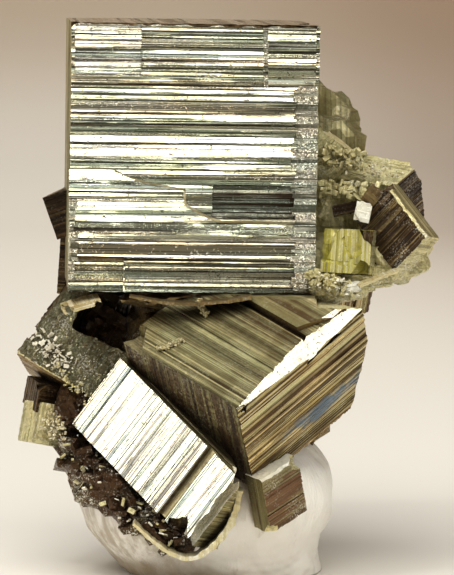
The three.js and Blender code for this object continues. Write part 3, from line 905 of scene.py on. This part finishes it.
def dress(body, finishes, random):
    """Gives a solid its kinds' finishes, and a map that runs along and across its ledges in mm."""
    mesh = body.data
    kinds = read(mesh.attributes["kind"].data, "value", 1, np.int32)
    points = read(mesh.vertices, "co", 3)
    axis = np.abs(read(mesh.polygons, "normal", 3)).argmax(1)
    axis = np.where(kinds < STEP, kinds // 2, axis)
    assign(mesh, finishes, kinds)
    corner_axis = np.repeat(axis, read(mesh.polygons, "loop_total", 1, np.int32))
    corners = points[read(mesh.loops, "vertex_index", 1, np.int32)]
    along = np.take_along_axis(corners, ((corner_axis + 1) % 3)[:, None], 1)[:, 0]
    across = np.take_along_axis(corners, ((corner_axis + 2) % 3)[:, None], 1)[:, 0]
    offset = random.uniform(0, 200, 2)
    layer = mesh.uv_layers.new(name="striae")
    shifted = np.stack([along + offset[0], across + offset[1] + 17 * corner_axis], 1)
    layer.data.foreach_set("uv", shifted.astype(np.float32).ravel())


def assign(mesh, finishes, kinds):
    """Sets each face's material by its kind's finish."""
    names = sorted(set(finishes))
    mesh.materials.clear()
    for name in names:
        mesh.materials.append(pyrite(name))
    slots = np.array([names.index(finish) for finish in finishes], np.int32)
    mesh.polygons.foreach_set("material_index", slots[kinds])


# Rough massive pyrite


def hills(points, wavelength, random, count=9):
    """Smooth lumpiness from about -1 to 1 over space."""
    total = np.zeros(len(points))
    for _ in range(count):
        direction = random.normal(0, 1, 3)
        direction *= 2 * math.pi / (wavelength * random.uniform(0.6, 1.6) * np.linalg.norm(direction))
        total += np.sin(points @ direction + random.uniform(0, 2 * math.pi))
    return total / math.sqrt(count)


def rough_lump(middle, half, seed, finish):
    """A rough lump of massive pyrite, in mm in the crystals' frame."""
    random = np.random.default_rng(seed)
    builder = bmesh.new()
    bmesh.ops.create_icosphere(builder, subdivisions=5 if max(half) > 8 else 4, radius=1)
    points, faces = taken(builder)
    swell = 0.08 * hills(points, 0.9, random) + 0.04 * hills(points, 0.22, random)
    points *= (1 + swell + random.normal(0, 0.02, len(points)))[:, None]
    points = points * np.array(half) + np.array(middle)
    return solid("lump", points, faces, CRUSTS.index(finish))


def lip(path, width, deep, seed, finish):
    """A thin ragged lip of crust that follows a path and reaches back from it."""
    random = np.random.default_rng(seed)
    path = np.array(path, float)
    walked = np.concatenate([[0], np.cumsum(np.linalg.norm(np.diff(path, axis=0), axis=1))])
    steps = np.linspace(0, walked[-1], round(walked[-1] / 0.4))
    middle = np.stack([np.interp(steps, walked, path[:, axis]) for axis in range(3)], 1)
    way = np.gradient(middle, axis=0)
    across = np.stack([-way[:, 2], np.zeros(len(steps)), way[:, 0]], 1)
    across /= np.linalg.norm(across, axis=1)[:, None]
    half = np.interp(steps, (0, walked[-1]), width) * random.uniform(0.35, 0.65, len(steps))
    side, back = across * half[:, None], np.array([0, deep, 0])
    middle[:, 1] += random.normal(0, 0.08, len(steps))
    ring = [middle - side, middle + side, middle + side + back, middle - side + back]
    points = np.stack(ring, 1).reshape(-1, 3)
    faces = [(0, 1, 2, 3), tuple(len(points) - 4 + corner for corner in (3, 2, 1, 0))]
    for station in range(0, len(points) - 4, 4):
        for corner in range(4):
            after = (corner + 1) % 4
            faces.append((station + corner, station + corner + 4, station + after + 4, station + after))
    body = solid("lip", points, faces, CRUSTS.index(finish))
    builder = bmesh.new()
    builder.from_mesh(body.data)
    bmesh.ops.recalc_face_normals(builder, faces=builder.faces[:])
    builder.to_mesh(body.data)
    builder.free()
    return body


def shard(middle, size, kind, random):
    """A broken crystal: a leaning box whose corners and sides are knocked about."""
    builder = bmesh.new()
    corners = np.array([(x, y, z) for x in (-1, 1) for y in (-1, 1) for z in (-1, 1)], float)
    knocked = corners * random.uniform(0.82, 1, corners.shape)
    extra = random.normal(0, 1, (8, 3))
    extra /= np.linalg.norm(extra, axis=1)[:, None]
    points = np.concatenate([knocked, extra * random.uniform(1.1, 1.35, (8, 1))]) * size / 2
    turn = Matrix.Rotation(random.uniform(0, 6), 3, Vector(random.normal(0, 1, 3)).normalized())
    for point in points:
        builder.verts.new(turn @ Vector(point) + Vector(middle))
    hull = bmesh.ops.convex_hull(builder, input=builder.verts[:])
    inner = [one for one in hull["geom_interior"] if isinstance(one, bmesh.types.BMVert)]
    bmesh.ops.delete(builder, geom=inner)
    bmesh.ops.recalc_face_normals(builder, faces=builder.faces[:])
    return solid("shard", *taken(builder), kind)


def strewn(start, end, count, sizes, strew, flat, seed, finish):
    """The shards of one strewn band, grown together."""
    random = np.random.default_rng(seed)
    start, end = np.array(start, float), np.array(end, float)
    made = []
    for index in range(count):
        share = (index + 0.5) / count
        middle = start + (end - start) * share + random.uniform(-1, 1, 3) * strew
        size = random.uniform(*sizes, 3) * (1.3, 1, flat)
        made.append(shard(middle, size, CRUSTS.index(finish), random))
    return combine(made[0], "UNION", *made[1:])


# Finishes


class Nodes:
    """A material's node tree, built up in plain steps."""

    def __init__(self, name):
        self.material = bpy.data.materials.new(name)
        self.material.use_nodes = True
        self.tree = self.material.node_tree
        self.tree.nodes.clear()

    def add(self, kind, values=None, **options):
        """A node with its options set, and its inputs set to values or linked to other nodes' outputs."""
        node = self.tree.nodes.new(kind)
        for option, value in options.items():
            setattr(node, option, value)
        for socket, value in (values or {}).items():
            if isinstance(value, bpy.types.NodeSocket):
                self.tree.links.new(value, node.inputs[socket])
            else:
                node.inputs[socket].default_value = value
        return node

    def noise(self, coordinates, scale, stretch=(1, 1, 1), detail=3, roughness=0.55):
        """Noise from 0 to 1, drawn out along the axes with a small stretch."""
        mapping = self.add("ShaderNodeMapping", {"Vector": coordinates, "Scale": stretch})
        values = {"Scale": scale, "Detail": detail, "Roughness": roughness}
        noise = self.add("ShaderNodeTexNoise", {"Vector": mapping.outputs["Vector"], **values})
        return noise.outputs["Fac"]

    def spread(self, value, low, high, to_low=0, to_high=1):
        """A value's range from low to high, drawn out to another range and held there."""
        node = self.add(
            "ShaderNodeMapRange",
            {"Value": value, "From Min": low, "From Max": high, "To Min": to_low, "To Max": to_high},
            interpolation_type="SMOOTHSTEP",
        )
        return node.outputs["Result"]

    def times(self, first, second, operation="MULTIPLY"):
        """Two values multiplied, or worked together in another way."""
        return self.add("ShaderNodeMath", {0: first, 1: second}, operation=operation).outputs["Value"]

    def mix(self, share, first, second, blend="MIX"):
        """Two colours mixed."""
        node = self.add("ShaderNodeMix", data_type="RGBA", blend_type=blend)
        for socket, value in (("Factor_Float", share), ("A_Color", first), ("B_Color", second)):
            target = next(one for one in node.inputs if one.identifier == socket)
            if isinstance(value, bpy.types.NodeSocket):
                self.tree.links.new(value, target)
            else:
                target.default_value = value
        return next(one for one in node.outputs if one.identifier == "Result_Color")

    def vectors(self, operation, first, second=(0, 0, 0), output="Vector"):
        """Two vectors worked together, as a vector or as one value."""
        node = self.add("ShaderNodeVectorMath", {0: first, 1: second}, operation=operation)
        return node.outputs[output]

    def facets(self, coordinates, scale):
        """The height of small flat facets that each lean their own way."""
        cells = self.add("ShaderNodeTexVoronoi", {"Vector": coordinates, "Scale": scale})
        off = self.vectors("SUBTRACT", coordinates, cells.outputs["Position"])
        lean = self.vectors("SUBTRACT", cells.outputs["Color"], (0.5, 0.5, 0.5))
        return self.vectors("DOT_PRODUCT", off, lean, "Value")

    def open_air(self, reach, samples):
        """How open a spot is, from 0 in a hollow to 1, seen over a reach in mm."""
        node = self.add("ShaderNodeAmbientOcclusion", {"Distance": reach * MM}, samples=samples)
        return node.outputs["AO"]

    def bump(self, height, distance, normal=None):
        """A bumped normal, for a height in shares of a distance in metres."""
        values = {"Height": height, "Distance": distance, "Strength": 1.0}
        if normal is not None:
            values["Normal"] = normal
        return self.add("ShaderNodeBump", values).outputs["Normal"]

    def finish(self, values):
        """Ends the tree in a surface."""
        surface = self.add("ShaderNodeBsdfPrincipled", values)
        self.add("ShaderNodeOutputMaterial", {"Surface": surface.outputs["BSDF"]})
        return self.material


def rgba(name):
    """One of the settings' colours with its alpha."""
    return (*getattr(settings().colours, name), 1)


def peacock(nodes, place, patches, shade):
    """The one bluish patch, drawn out along its way on the stepped block's golden side."""
    way = (0.698, 0.489, 0.523)
    off = nodes.vectors("SUBTRACT", place, tuple(value * MM for value in (12.6, -10.6, 22.6)))
    slide = nodes.times(nodes.vectors("DOT_PRODUCT", off, way, "Value"), 0.8)
    off = nodes.vectors("SUBTRACT", off, nodes.vectors("MULTIPLY", way, slide))
    far = nodes.vectors("LENGTH", off, output="Value")
    far = nodes.times(far, nodes.spread(patches, 0.3, 0.7, -0.5 * MM, 0.5 * MM), "ADD")
    return nodes.mix(nodes.spread(far, 0.7 * MM, 1.5 * MM, 0.85, 0), shade, rgba("peacock"))


def pits_and_painted_glints(nodes, place, patches, look, shade):
    """Dark pits, and painted glints: bright silver grains that gather in some patches."""
    grains = nodes.add("ShaderNodeTexVoronoi", {"Vector": place, "Scale": 6500}).outputs["Color"]
    grain = nodes.add("ShaderNodeSeparateXYZ", {"Vector": grains}).outputs["X"]
    pitted = nodes.noise(place, 1900, detail=3, roughness=0.7)
    pit = nodes.times(nodes.spread(pitted, 0.5, 0.64), nodes.times(look["pits_and_painted_glints"], 0.65))
    shade = nodes.mix(pit, shade, rgba(look["dark"]))
    # painted glints: bright silver grains, gathered in some patches
    gathered = nodes.spread(patches, 0.35, 0.72, 0.97, 0.55)
    bright = nodes.times(nodes.times(grain, gathered, "SUBTRACT"), 2.5)
    bright = nodes.add("ShaderNodeClamp", {"Value": nodes.times(bright, look["pits_and_painted_glints"])})
    return nodes.mix(bright.outputs["Result"], shade, rgba("silver"))


def pyrite(name):
    """A pyrite finish: ledge tones, lines along them, tarnish in patches, pits and painted glints,
    painted shade in the hollows, facets and pinholes.
    """
    if name in bpy.data.materials:
        return bpy.data.materials[name]
    look = FINISHES[name]
    nodes = Nodes(name)
    striae = nodes.add("ShaderNodeUVMap", uv_map="striae").outputs["UV"]
    place = nodes.add("ShaderNodeTexCoord").outputs["Object"]
    fine = nodes.noise(striae, 1, (0.03, 6, 1), 3, 0.7)
    hairs = nodes.noise(striae, 1, (0.015, 4.5, 1), 2, 0.6)
    bands = nodes.noise(striae, 1, (0.04, 1.6, 1), 2, 0.5)
    patches = nodes.noise(place, 240, detail=4, roughness=0.6)
    specks = nodes.noise(place, 2600, detail=1)
    cloud = nodes.noise(place, 90, detail=2)
    # each ledge's own tone and painted shade, with bands and fine lines on it, around 0.5
    tone = nodes.add("ShaderNodeAttribute", attribute_name="tone").outputs["Fac"]
    tone = nodes.times(nodes.times(tone, 0.01), 0.5, "SUBTRACT")
    tone = nodes.times(tone, nodes.spread(bands, 0.36, 0.64, -0.26, 0.26), "ADD")
    tone = nodes.times(tone, nodes.spread(fine, 0.35, 0.65, -0.16, 0.16), "ADD")
    tone = nodes.times(nodes.times(tone, look["contrast"]), 0.5, "ADD")
    tone = nodes.times(tone, nodes.spread(patches, 0.3, 0.7, -0.12, 0.12), "ADD")
    shade = nodes.mix(nodes.spread(tone, 0.05, 0.42), rgba(look["dark"]), rgba(look["base"]))
    shade = nodes.mix(nodes.spread(tone, 0.5, 0.85), shade, rgba(look["light"]))
    shade = nodes.mix(nodes.spread(hairs, 0.552, 0.578, 0, look["hair"]), shade, rgba("soot"))
    # painted shade: darker towards soot in hollows and under overhangs, by how open each spot is
    hollow = nodes.spread(nodes.open_air(7, 6), 0.66, 0.24, 0, look["shade"])
    stain = nodes.spread(patches, 0.62 - 0.3 * look["tarnish"], 0.78, 0, min(1, 0.3 + look["tarnish"]))
    shade = nodes.mix(stain, shade, rgba(look["dark"]))
    # greenish and pinkish along the ledges, greyish and warm in clouds
    hue = nodes.spread(nodes.noise(striae, 1, (0.02, 0.7, 1), 2, 0.5), 0.4, 0.6)
    hue = nodes.mix(hue, (0.8, 0.97, 0.9, 1), (1, 0.86, 0.74, 1))
    shade = nodes.mix(0.5 * look["metal"] ** 3, shade, hue, "MULTIPLY")
    warm = nodes.mix(nodes.spread(cloud, 0.35, 0.65), (0.62, 0.64, 0.6, 1), (1, 0.86, 0.6, 1))
    shade = nodes.mix(0.35, shade, warm, "MULTIPLY")
    if name == "golden":
        shade = peacock(nodes, place, patches, shade)
    # dark pits, and painted glints
    if look["pits_and_painted_glints"]:
        shade = pits_and_painted_glints(nodes, place, patches, look, shade)
    # the painted shade of the hollows
    shade = nodes.mix(hollow, shade, rgba("soot"))
    pits = nodes.spread(specks, 0.66, 0.74)
    roughness = nodes.times(nodes.times(stain, 0.22), nodes.spread(tone, 0.1, 0.6, 0.12, 0), "ADD")
    roughness = nodes.times(nodes.times(pits, 0.2), roughness, "ADD")
    roughness = nodes.times(roughness, look["roughness"], "ADD")
    normal = nodes.bump(nodes.times(fine, look["lines"]), 0.03 * MM)
    flakes = nodes.facets(nodes.vectors("MULTIPLY", place, (1 / MM,) * 3), 5.5)
    normal = nodes.bump(nodes.times(flakes, look["facets"]), 0.5 * MM, normal)
    normal = nodes.bump(nodes.times(pits, -1), 0.02 * MM, normal)
    return nodes.finish({
        "Base Color": shade, "Metallic": look["metal"], "Roughness": roughness, "Normal": normal,
    })


def putty_finish():
    """Mineral tack: off-white, slightly waxy, with fine creases, and brown painted shade where the
    crystals press in and painted shadow towards its left.
    """
    nodes = Nodes("putty")
    place = nodes.add("ShaderNodeTexCoord").outputs["Object"]
    cloud = nodes.noise(place, 120, detail=4)
    creases = nodes.noise(place, 420, (1, 1, 0.22), 5, 0.65)
    grain = nodes.noise(place, 2400, detail=3)
    shade = nodes.mix(nodes.spread(cloud, 0.4, 0.7, 0, 0.2), rgba("putty"), (0.62, 0.54, 0.42, 1))
    dirt = nodes.spread(creases, 0.58, 0.72, 0, 0.35)
    # painted shade where the pyrite presses into the putty
    stain = nodes.spread(nodes.open_air(5, 8), 0.72, 0.26, 0, 0.8)
    # painted shadow of the crystal towards the putty's left, broken up by the creases
    east = nodes.add("ShaderNodeSeparateXYZ", {"Vector": place}).outputs["X"]
    painted_shadow_smear = nodes.times(nodes.spread(east, MM, -13 * MM), nodes.spread(creases, 0.36, 0.6, 0.1, 0.75))
    for share in (dirt, painted_shadow_smear, stain):
        shade = nodes.mix(share, shade, rgba("putty_stain_and_shade"))
    roughness = nodes.spread(cloud, 0.3, 0.7, 0.42, 0.6)
    normal = nodes.bump(creases, 0.35 * MM)
    normal = nodes.bump(grain, 0.03 * MM, normal)
    return nodes.finish({
        "Base Color": shade, "Roughness": roughness, "Normal": normal,
        "Subsurface Weight": 0.12, "Subsurface Radius": (1, 0.7, 0.4), "Subsurface Scale": 1.5 * MM,
    })


def stage_finish():
    """A plain matt surface: floor, wall behind, painted shade at the wall's right and dark apron in front.
    """
    nodes = Nodes("floor")
    place = nodes.add("ShaderNodeTexCoord").outputs["Object"]
    cloud = nodes.noise(place, 3, detail=2)
    parts = nodes.add("ShaderNodeSeparateXYZ", {"Vector": place}).outputs
    shade = nodes.mix(nodes.spread(cloud, 0.3, 0.7, 0, 0.1), rgba("floor"), (0.7, 0.6, 0.5, 1))
    shade = nodes.mix(nodes.spread(parts["Z"], 0, 0.075), shade, rgba("wall"))
    # painted shade: the wall darker and browner towards the right
    side = nodes.times(nodes.spread(parts["Y"], 0.1, 0.7), nodes.spread(parts["X"], -0.03, 0.1, 0, 0.6))
    shade = nodes.mix(side, shade, (0.2, 0.12, 0.07, 1))
    shade = nodes.mix(nodes.spread(parts["Y"], -0.06, -0.13), shade, rgba("apron"))
    return nodes.finish({"Base Color": shade, "Roughness": 0.7, "Normal": nodes.bump(cloud, 0.1 * MM)})


# Pieces


def ready(piece, node):
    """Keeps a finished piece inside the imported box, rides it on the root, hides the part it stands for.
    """
    points = read(piece.data.vertices, "co", 3)
    inside = np.clip(points, np.array(CAD_LOW), np.array(CAD_HIGH))
    piece.data.vertices.foreach_set("co", inside.ravel())
    piece.data.update()
    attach(piece, "root")
    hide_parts(node)


def joined(name, bodies):
    """Several solids grown into one piece."""
    whole = combine(bodies[0], "UNION", *bodies[1:]) if len(bodies) > 1 else bodies[0]
    whole.name = name
    whole.data.name = name
    whole.data.shade_smooth()
    whole.data.set_sharp_from_angle(angle=SHARP)
    ready(whole, "pyrite_cluster")


class SPECIMEN_OT_big_cube(bpy.types.Operator):
    """Grow the big striated cube with the growth panels of its front"""

    bl_idname = "specimen.big_cube"
    bl_label = "Big cube"

    def execute(self, context):
        joined("big_cube", [crystal(BIG_CUBE)])
        return {"FINISHED"}


class SPECIMEN_OT_stepped_block(bpy.types.Operator):
    """Grow the stepped block under the big cube, and the small block under it"""

    bl_idname = "specimen.stepped_block"
    bl_label = "Stepped block"

    def execute(self, context):
        joined("stepped_block", [crystal(STEPPED_BLOCK), crystal(UNDER_BLOCK)])
        return {"FINISHED"}


class SPECIMEN_OT_bright_block(bpy.types.Operator):
    """Grow the bright block at the lower front"""

    bl_idname = "specimen.bright_block"
    bl_label = "Bright block"

    def execute(self, context):
        joined("bright_block", [crystal(BRIGHT_BLOCK)])
        return {"FINISHED"}


class SPECIMEN_OT_left_block(bpy.types.Operator):
    """Grow the etched block at the left"""

    bl_idname = "specimen.left_block"
    bl_label = "Left block"

    def execute(self, context):
        joined("left_block", [crystal(LEFT_BLOCK)])
        return {"FINISHED"}


class SPECIMEN_OT_right_crystals(bpy.types.Operator):
    """Grow the small crystals right of the big cube"""

    bl_idname = "specimen.right_crystals"
    bl_label = "Right crystals"

    def execute(self, context):
        joined("right_crystals", [crystal(spec) for spec in RIGHT_CRYSTALS])
        return {"FINISHED"}


class SPECIMEN_OT_left_crystals(bpy.types.Operator):
    """Grow the small crystals at the left edge"""

    bl_idname = "specimen.left_crystals"
    bl_label = "Left crystals"

    def execute(self, context):
        joined("left_crystals", [crystal(spec) for spec in LEFT_CRYSTALS])
        return {"FINISHED"}


class SPECIMEN_OT_back_crystals(bpy.types.Operator):
    """Grow the crystals round the back and underneath"""

    bl_idname = "specimen.back_crystals"
    bl_label = "Back crystals"

    def execute(self, context):
        joined("back_crystals", [crystal(spec) for spec in BACK_CRYSTALS])
        return {"FINISHED"}


class SPECIMEN_OT_massive_core(bpy.types.Operator):
    """Form the rough massive pyrite between the crystals, with its rubble"""

    bl_idname = "specimen.massive_core"
    bl_label = "Massive core"

    def execute(self, context):
        bodies = [rough_lump(*lump) for lump in ROUGH_LUMPS]
        bodies += [lip(*values) for values in LIPS]
        bodies += [strewn(*band) for band in RUBBLE]
        core = combine(bodies[0], "UNION", *bodies[1:])
        dress(core, CRUSTS, np.random.default_rng(5))
        core.data.transform(GROWTH)
        joined("massive_core", [core])
        return {"FINISHED"}


def rounded(values, reach):
    """Values evened out over their neighbours, with their ends kept."""
    padded = np.pad(values, reach, mode="reflect", reflect_type="odd")
    return np.convolve(padded, np.ones(2 * reach + 1) / (2 * reach + 1), mode="valid")


class SPECIMEN_OT_putty(bpy.types.Operator):
    """Press the putty that holds the cluster upright"""

    bl_idname = "specimen.putty"
    bl_label = "Putty"

    def execute(self, context):
        random = np.random.default_rng(31)
        outline = np.array(PUTTY_OUTLINE)
        walked = np.concatenate([[0], np.cumsum(np.linalg.norm(np.diff(outline, axis=0), axis=1))])
        steps = np.linspace(0, walked[-1], PUTTY_RINGS)
        radius = rounded(np.interp(steps, walked, outline[:, 0]), 9)
        height = rounded(np.interp(steps, walked, outline[:, 1]), 9)
        angle = np.linspace(0, 2 * math.pi, PUTTY_SIDES, endpoint=False)
        points = np.stack([
            np.outer(radius, np.cos(angle)), np.outer(radius, np.sin(angle)),
            np.outer(height, np.ones(PUTTY_SIDES)),
        ], -1).reshape(-1, 3)
        swell = settings().sizes.putty_swell / MM
        wave = 0.6 * hills(points, 13, random) + 0.25 * hills(points, 4.5, random)
        crease = hills(points * np.array([1, 1, 0.25]), 1.6, random)
        move = swell * (wave - 0.6) * np.minimum(points[:, 2] / 3, 1) + 0.05 * crease
        # the foot spreads to its full reach on the right side
        level = np.linalg.norm(points[:, :2], axis=1)
        right = np.clip(points[:, 0] / level, 0, 1) * np.clip(1 - points[:, 2] / 10, 0, 1) ** 0.6
        move += right * np.clip(PUTTY_FOOT - level, 0, None)
        points[:, :2] *= (1 + move / np.maximum(level, 4))[:, None]
        points[:, :2] += PUTTY_AXIS
        grid = np.arange(PUTTY_RINGS * PUTTY_SIDES).reshape(PUTTY_RINGS, PUTTY_SIDES)
        turned = np.roll(grid, -1, axis=1)
        faces = np.stack([grid[:-1], turned[:-1], turned[1:], grid[1:]], -1).reshape(-1, 4).tolist()
        faces += [grid[0, ::-1].tolist(), grid[-1].tolist()]
        body = solid("putty", points, faces, 0)
        body.data.materials.append(putty_finish())
        body.data.shade_smooth()
        body.data.transform(GROWTH)
        ready(body, "putty_base")
        return {"FINISHED"}


def softbox(name, azimuth, elevation, distance, size, tint):
    """An area light of the settings' strength, aimed at the specimen."""
    focus = Vector(FOCUS) * MM
    turn, rise = math.radians(azimuth), math.radians(elevation)
    way = Vector((math.sin(turn) * math.cos(rise), -math.cos(turn) * math.cos(rise), math.sin(rise)))
    data = bpy.data.lights.new(name, "AREA")
    data.shape = "RECTANGLE"
    data.size, data.size_y = size
    data.energy = getattr(settings().lights, name)
    data.color = tint
    light = bpy.data.objects.new(name, data)
    light.location = focus + way * distance
    light.rotation_euler = (-way).to_track_quat("-Z", "Y").to_euler()
    light.visible_camera = False
    bpy.context.scene.collection.objects.link(light)
    return light


class SPECIMEN_OT_stage(bpy.types.Operator):
    """Set up the pale floor and wall, the studio light and the camera"""

    bl_idname = "specimen.stage"
    bl_label = "Stage"

    def execute(self, context):
        self.floor()
        self.lights()
        self.camera(context)
        return {"FINISHED"}

    def floor(self):
        """A round floor that turns up into a wall behind."""
        profile = [(0, 0), (0.3, 0), (0.62, 0), (0.78, 0.012), (0.88, 0.05), (0.93, 0.12), (0.95, 0.5)]
        points, faces, sides = [], [], 64
        for side in range(sides):
            angle = 2 * math.pi * side / sides
            behind = max(0, math.sin(angle)) ** 0.5
            for reach, rise in profile:
                points.append((reach * math.cos(angle), reach * math.sin(angle), behind * rise))
        count = len(profile)
        for side in range(sides):
            this, following = side * count, (side + 1) % sides * count
            for step in range(count - 1):
                faces.append((this + step, this + step + 1, following + step + 1, following + step))
        mesh = bpy.data.meshes.new("floor")
        mesh.from_pydata(points, [], faces)
        mesh.validate()
        mesh.shade_smooth()
        mesh.materials.append(stage_finish())
        floor = bpy.data.objects.new("floor", mesh)
        bpy.context.scene.collection.objects.link(floor)

    def lights(self):
        """Soft boxes, and a dim room round them."""
        lights = {name: softbox(name, *values) for name, values in LIGHTS.items()}
        lights["back"].rotation_euler = (math.radians(28), 0, 0)
        lights["room"].visible_glossy = False
        lights["back"].visible_glossy = False
        world = bpy.data.worlds.new("room")
        world.use_nodes = True
        world.node_tree.nodes["Background"].inputs["Color"].default_value = (0.075, 0.068, 0.058, 1)
        bpy.context.scene.world = world

    def camera(self, context):
        """The camera at the photograph's viewing angle."""
        rise = math.radians(CAMERA_ELEVATION)
        way = Vector((0, -math.cos(rise), math.sin(rise)))
        data = bpy.data.cameras.new("camera")
        data.lens = CAMERA_LENS
        data.sensor_width = 36
        camera = bpy.data.objects.new("camera", data)
        camera.location = (Vector(FOCUS) + way * CAMERA_DISTANCE) * MM
        camera.rotation_euler = (-way).to_track_quat("-Z", "Y").to_euler()
        context.scene.collection.objects.link(camera)
        context.scene.camera = camera
        context.scene.view_settings.view_transform = "Standard"


class SPECIMEN_PT_panel(bpy.types.Panel):
    """The specimen's settings and its pieces."""

    bl_idname = "SPECIMEN_PT_panel"
    bl_label = "Pyrite specimen"
    bl_space_type = "VIEW_3D"
    bl_region_type = "UI"
    bl_category = "Specimen"

    def draw(self, context):
        for title in ("sizes", "colours", "lights"):
            box = self.layout.box()
            box.label(text=title.capitalize())
            group = getattr(context.scene.specimen, title)
            for name in type(group).__annotations__:
                box.prop(group, name)
        column = self.layout.column(align=True)
        for operator in OPERATORS:
            column.operator(operator.bl_idname)


OPERATORS = (
    SPECIMEN_OT_big_cube,
    SPECIMEN_OT_stepped_block,
    SPECIMEN_OT_bright_block,
    SPECIMEN_OT_left_block,
    SPECIMEN_OT_right_crystals,
    SPECIMEN_OT_left_crystals,
    SPECIMEN_OT_back_crystals,
    SPECIMEN_OT_massive_core,
    SPECIMEN_OT_putty,
    SPECIMEN_OT_stage,
)
CLASSES = (SpecimenSizes, SpecimenColours, SpecimenLights, SpecimenSettings, *OPERATORS, SPECIMEN_PT_panel)


def register():
    for one in CLASSES:
        bpy.utils.register_class(one)
    bpy.types.Scene.specimen = PointerProperty(type=SpecimenSettings)


def unregister():
    del bpy.types.Scene.specimen
    for one in reversed(CLASSES):
        bpy.utils.unregister_class(one)


def main():
    """Builds every piece and the stage."""
    register()
    bpy.ops.specimen.big_cube()
    bpy.ops.specimen.stepped_block()
    bpy.ops.specimen.bright_block()
    bpy.ops.specimen.left_block()
    bpy.ops.specimen.right_crystals()
    bpy.ops.specimen.left_crystals()
    bpy.ops.specimen.back_crystals()
    bpy.ops.specimen.massive_core()
    bpy.ops.specimen.putty()
    bpy.ops.specimen.stage()


if __name__ == "__main__":
    main()
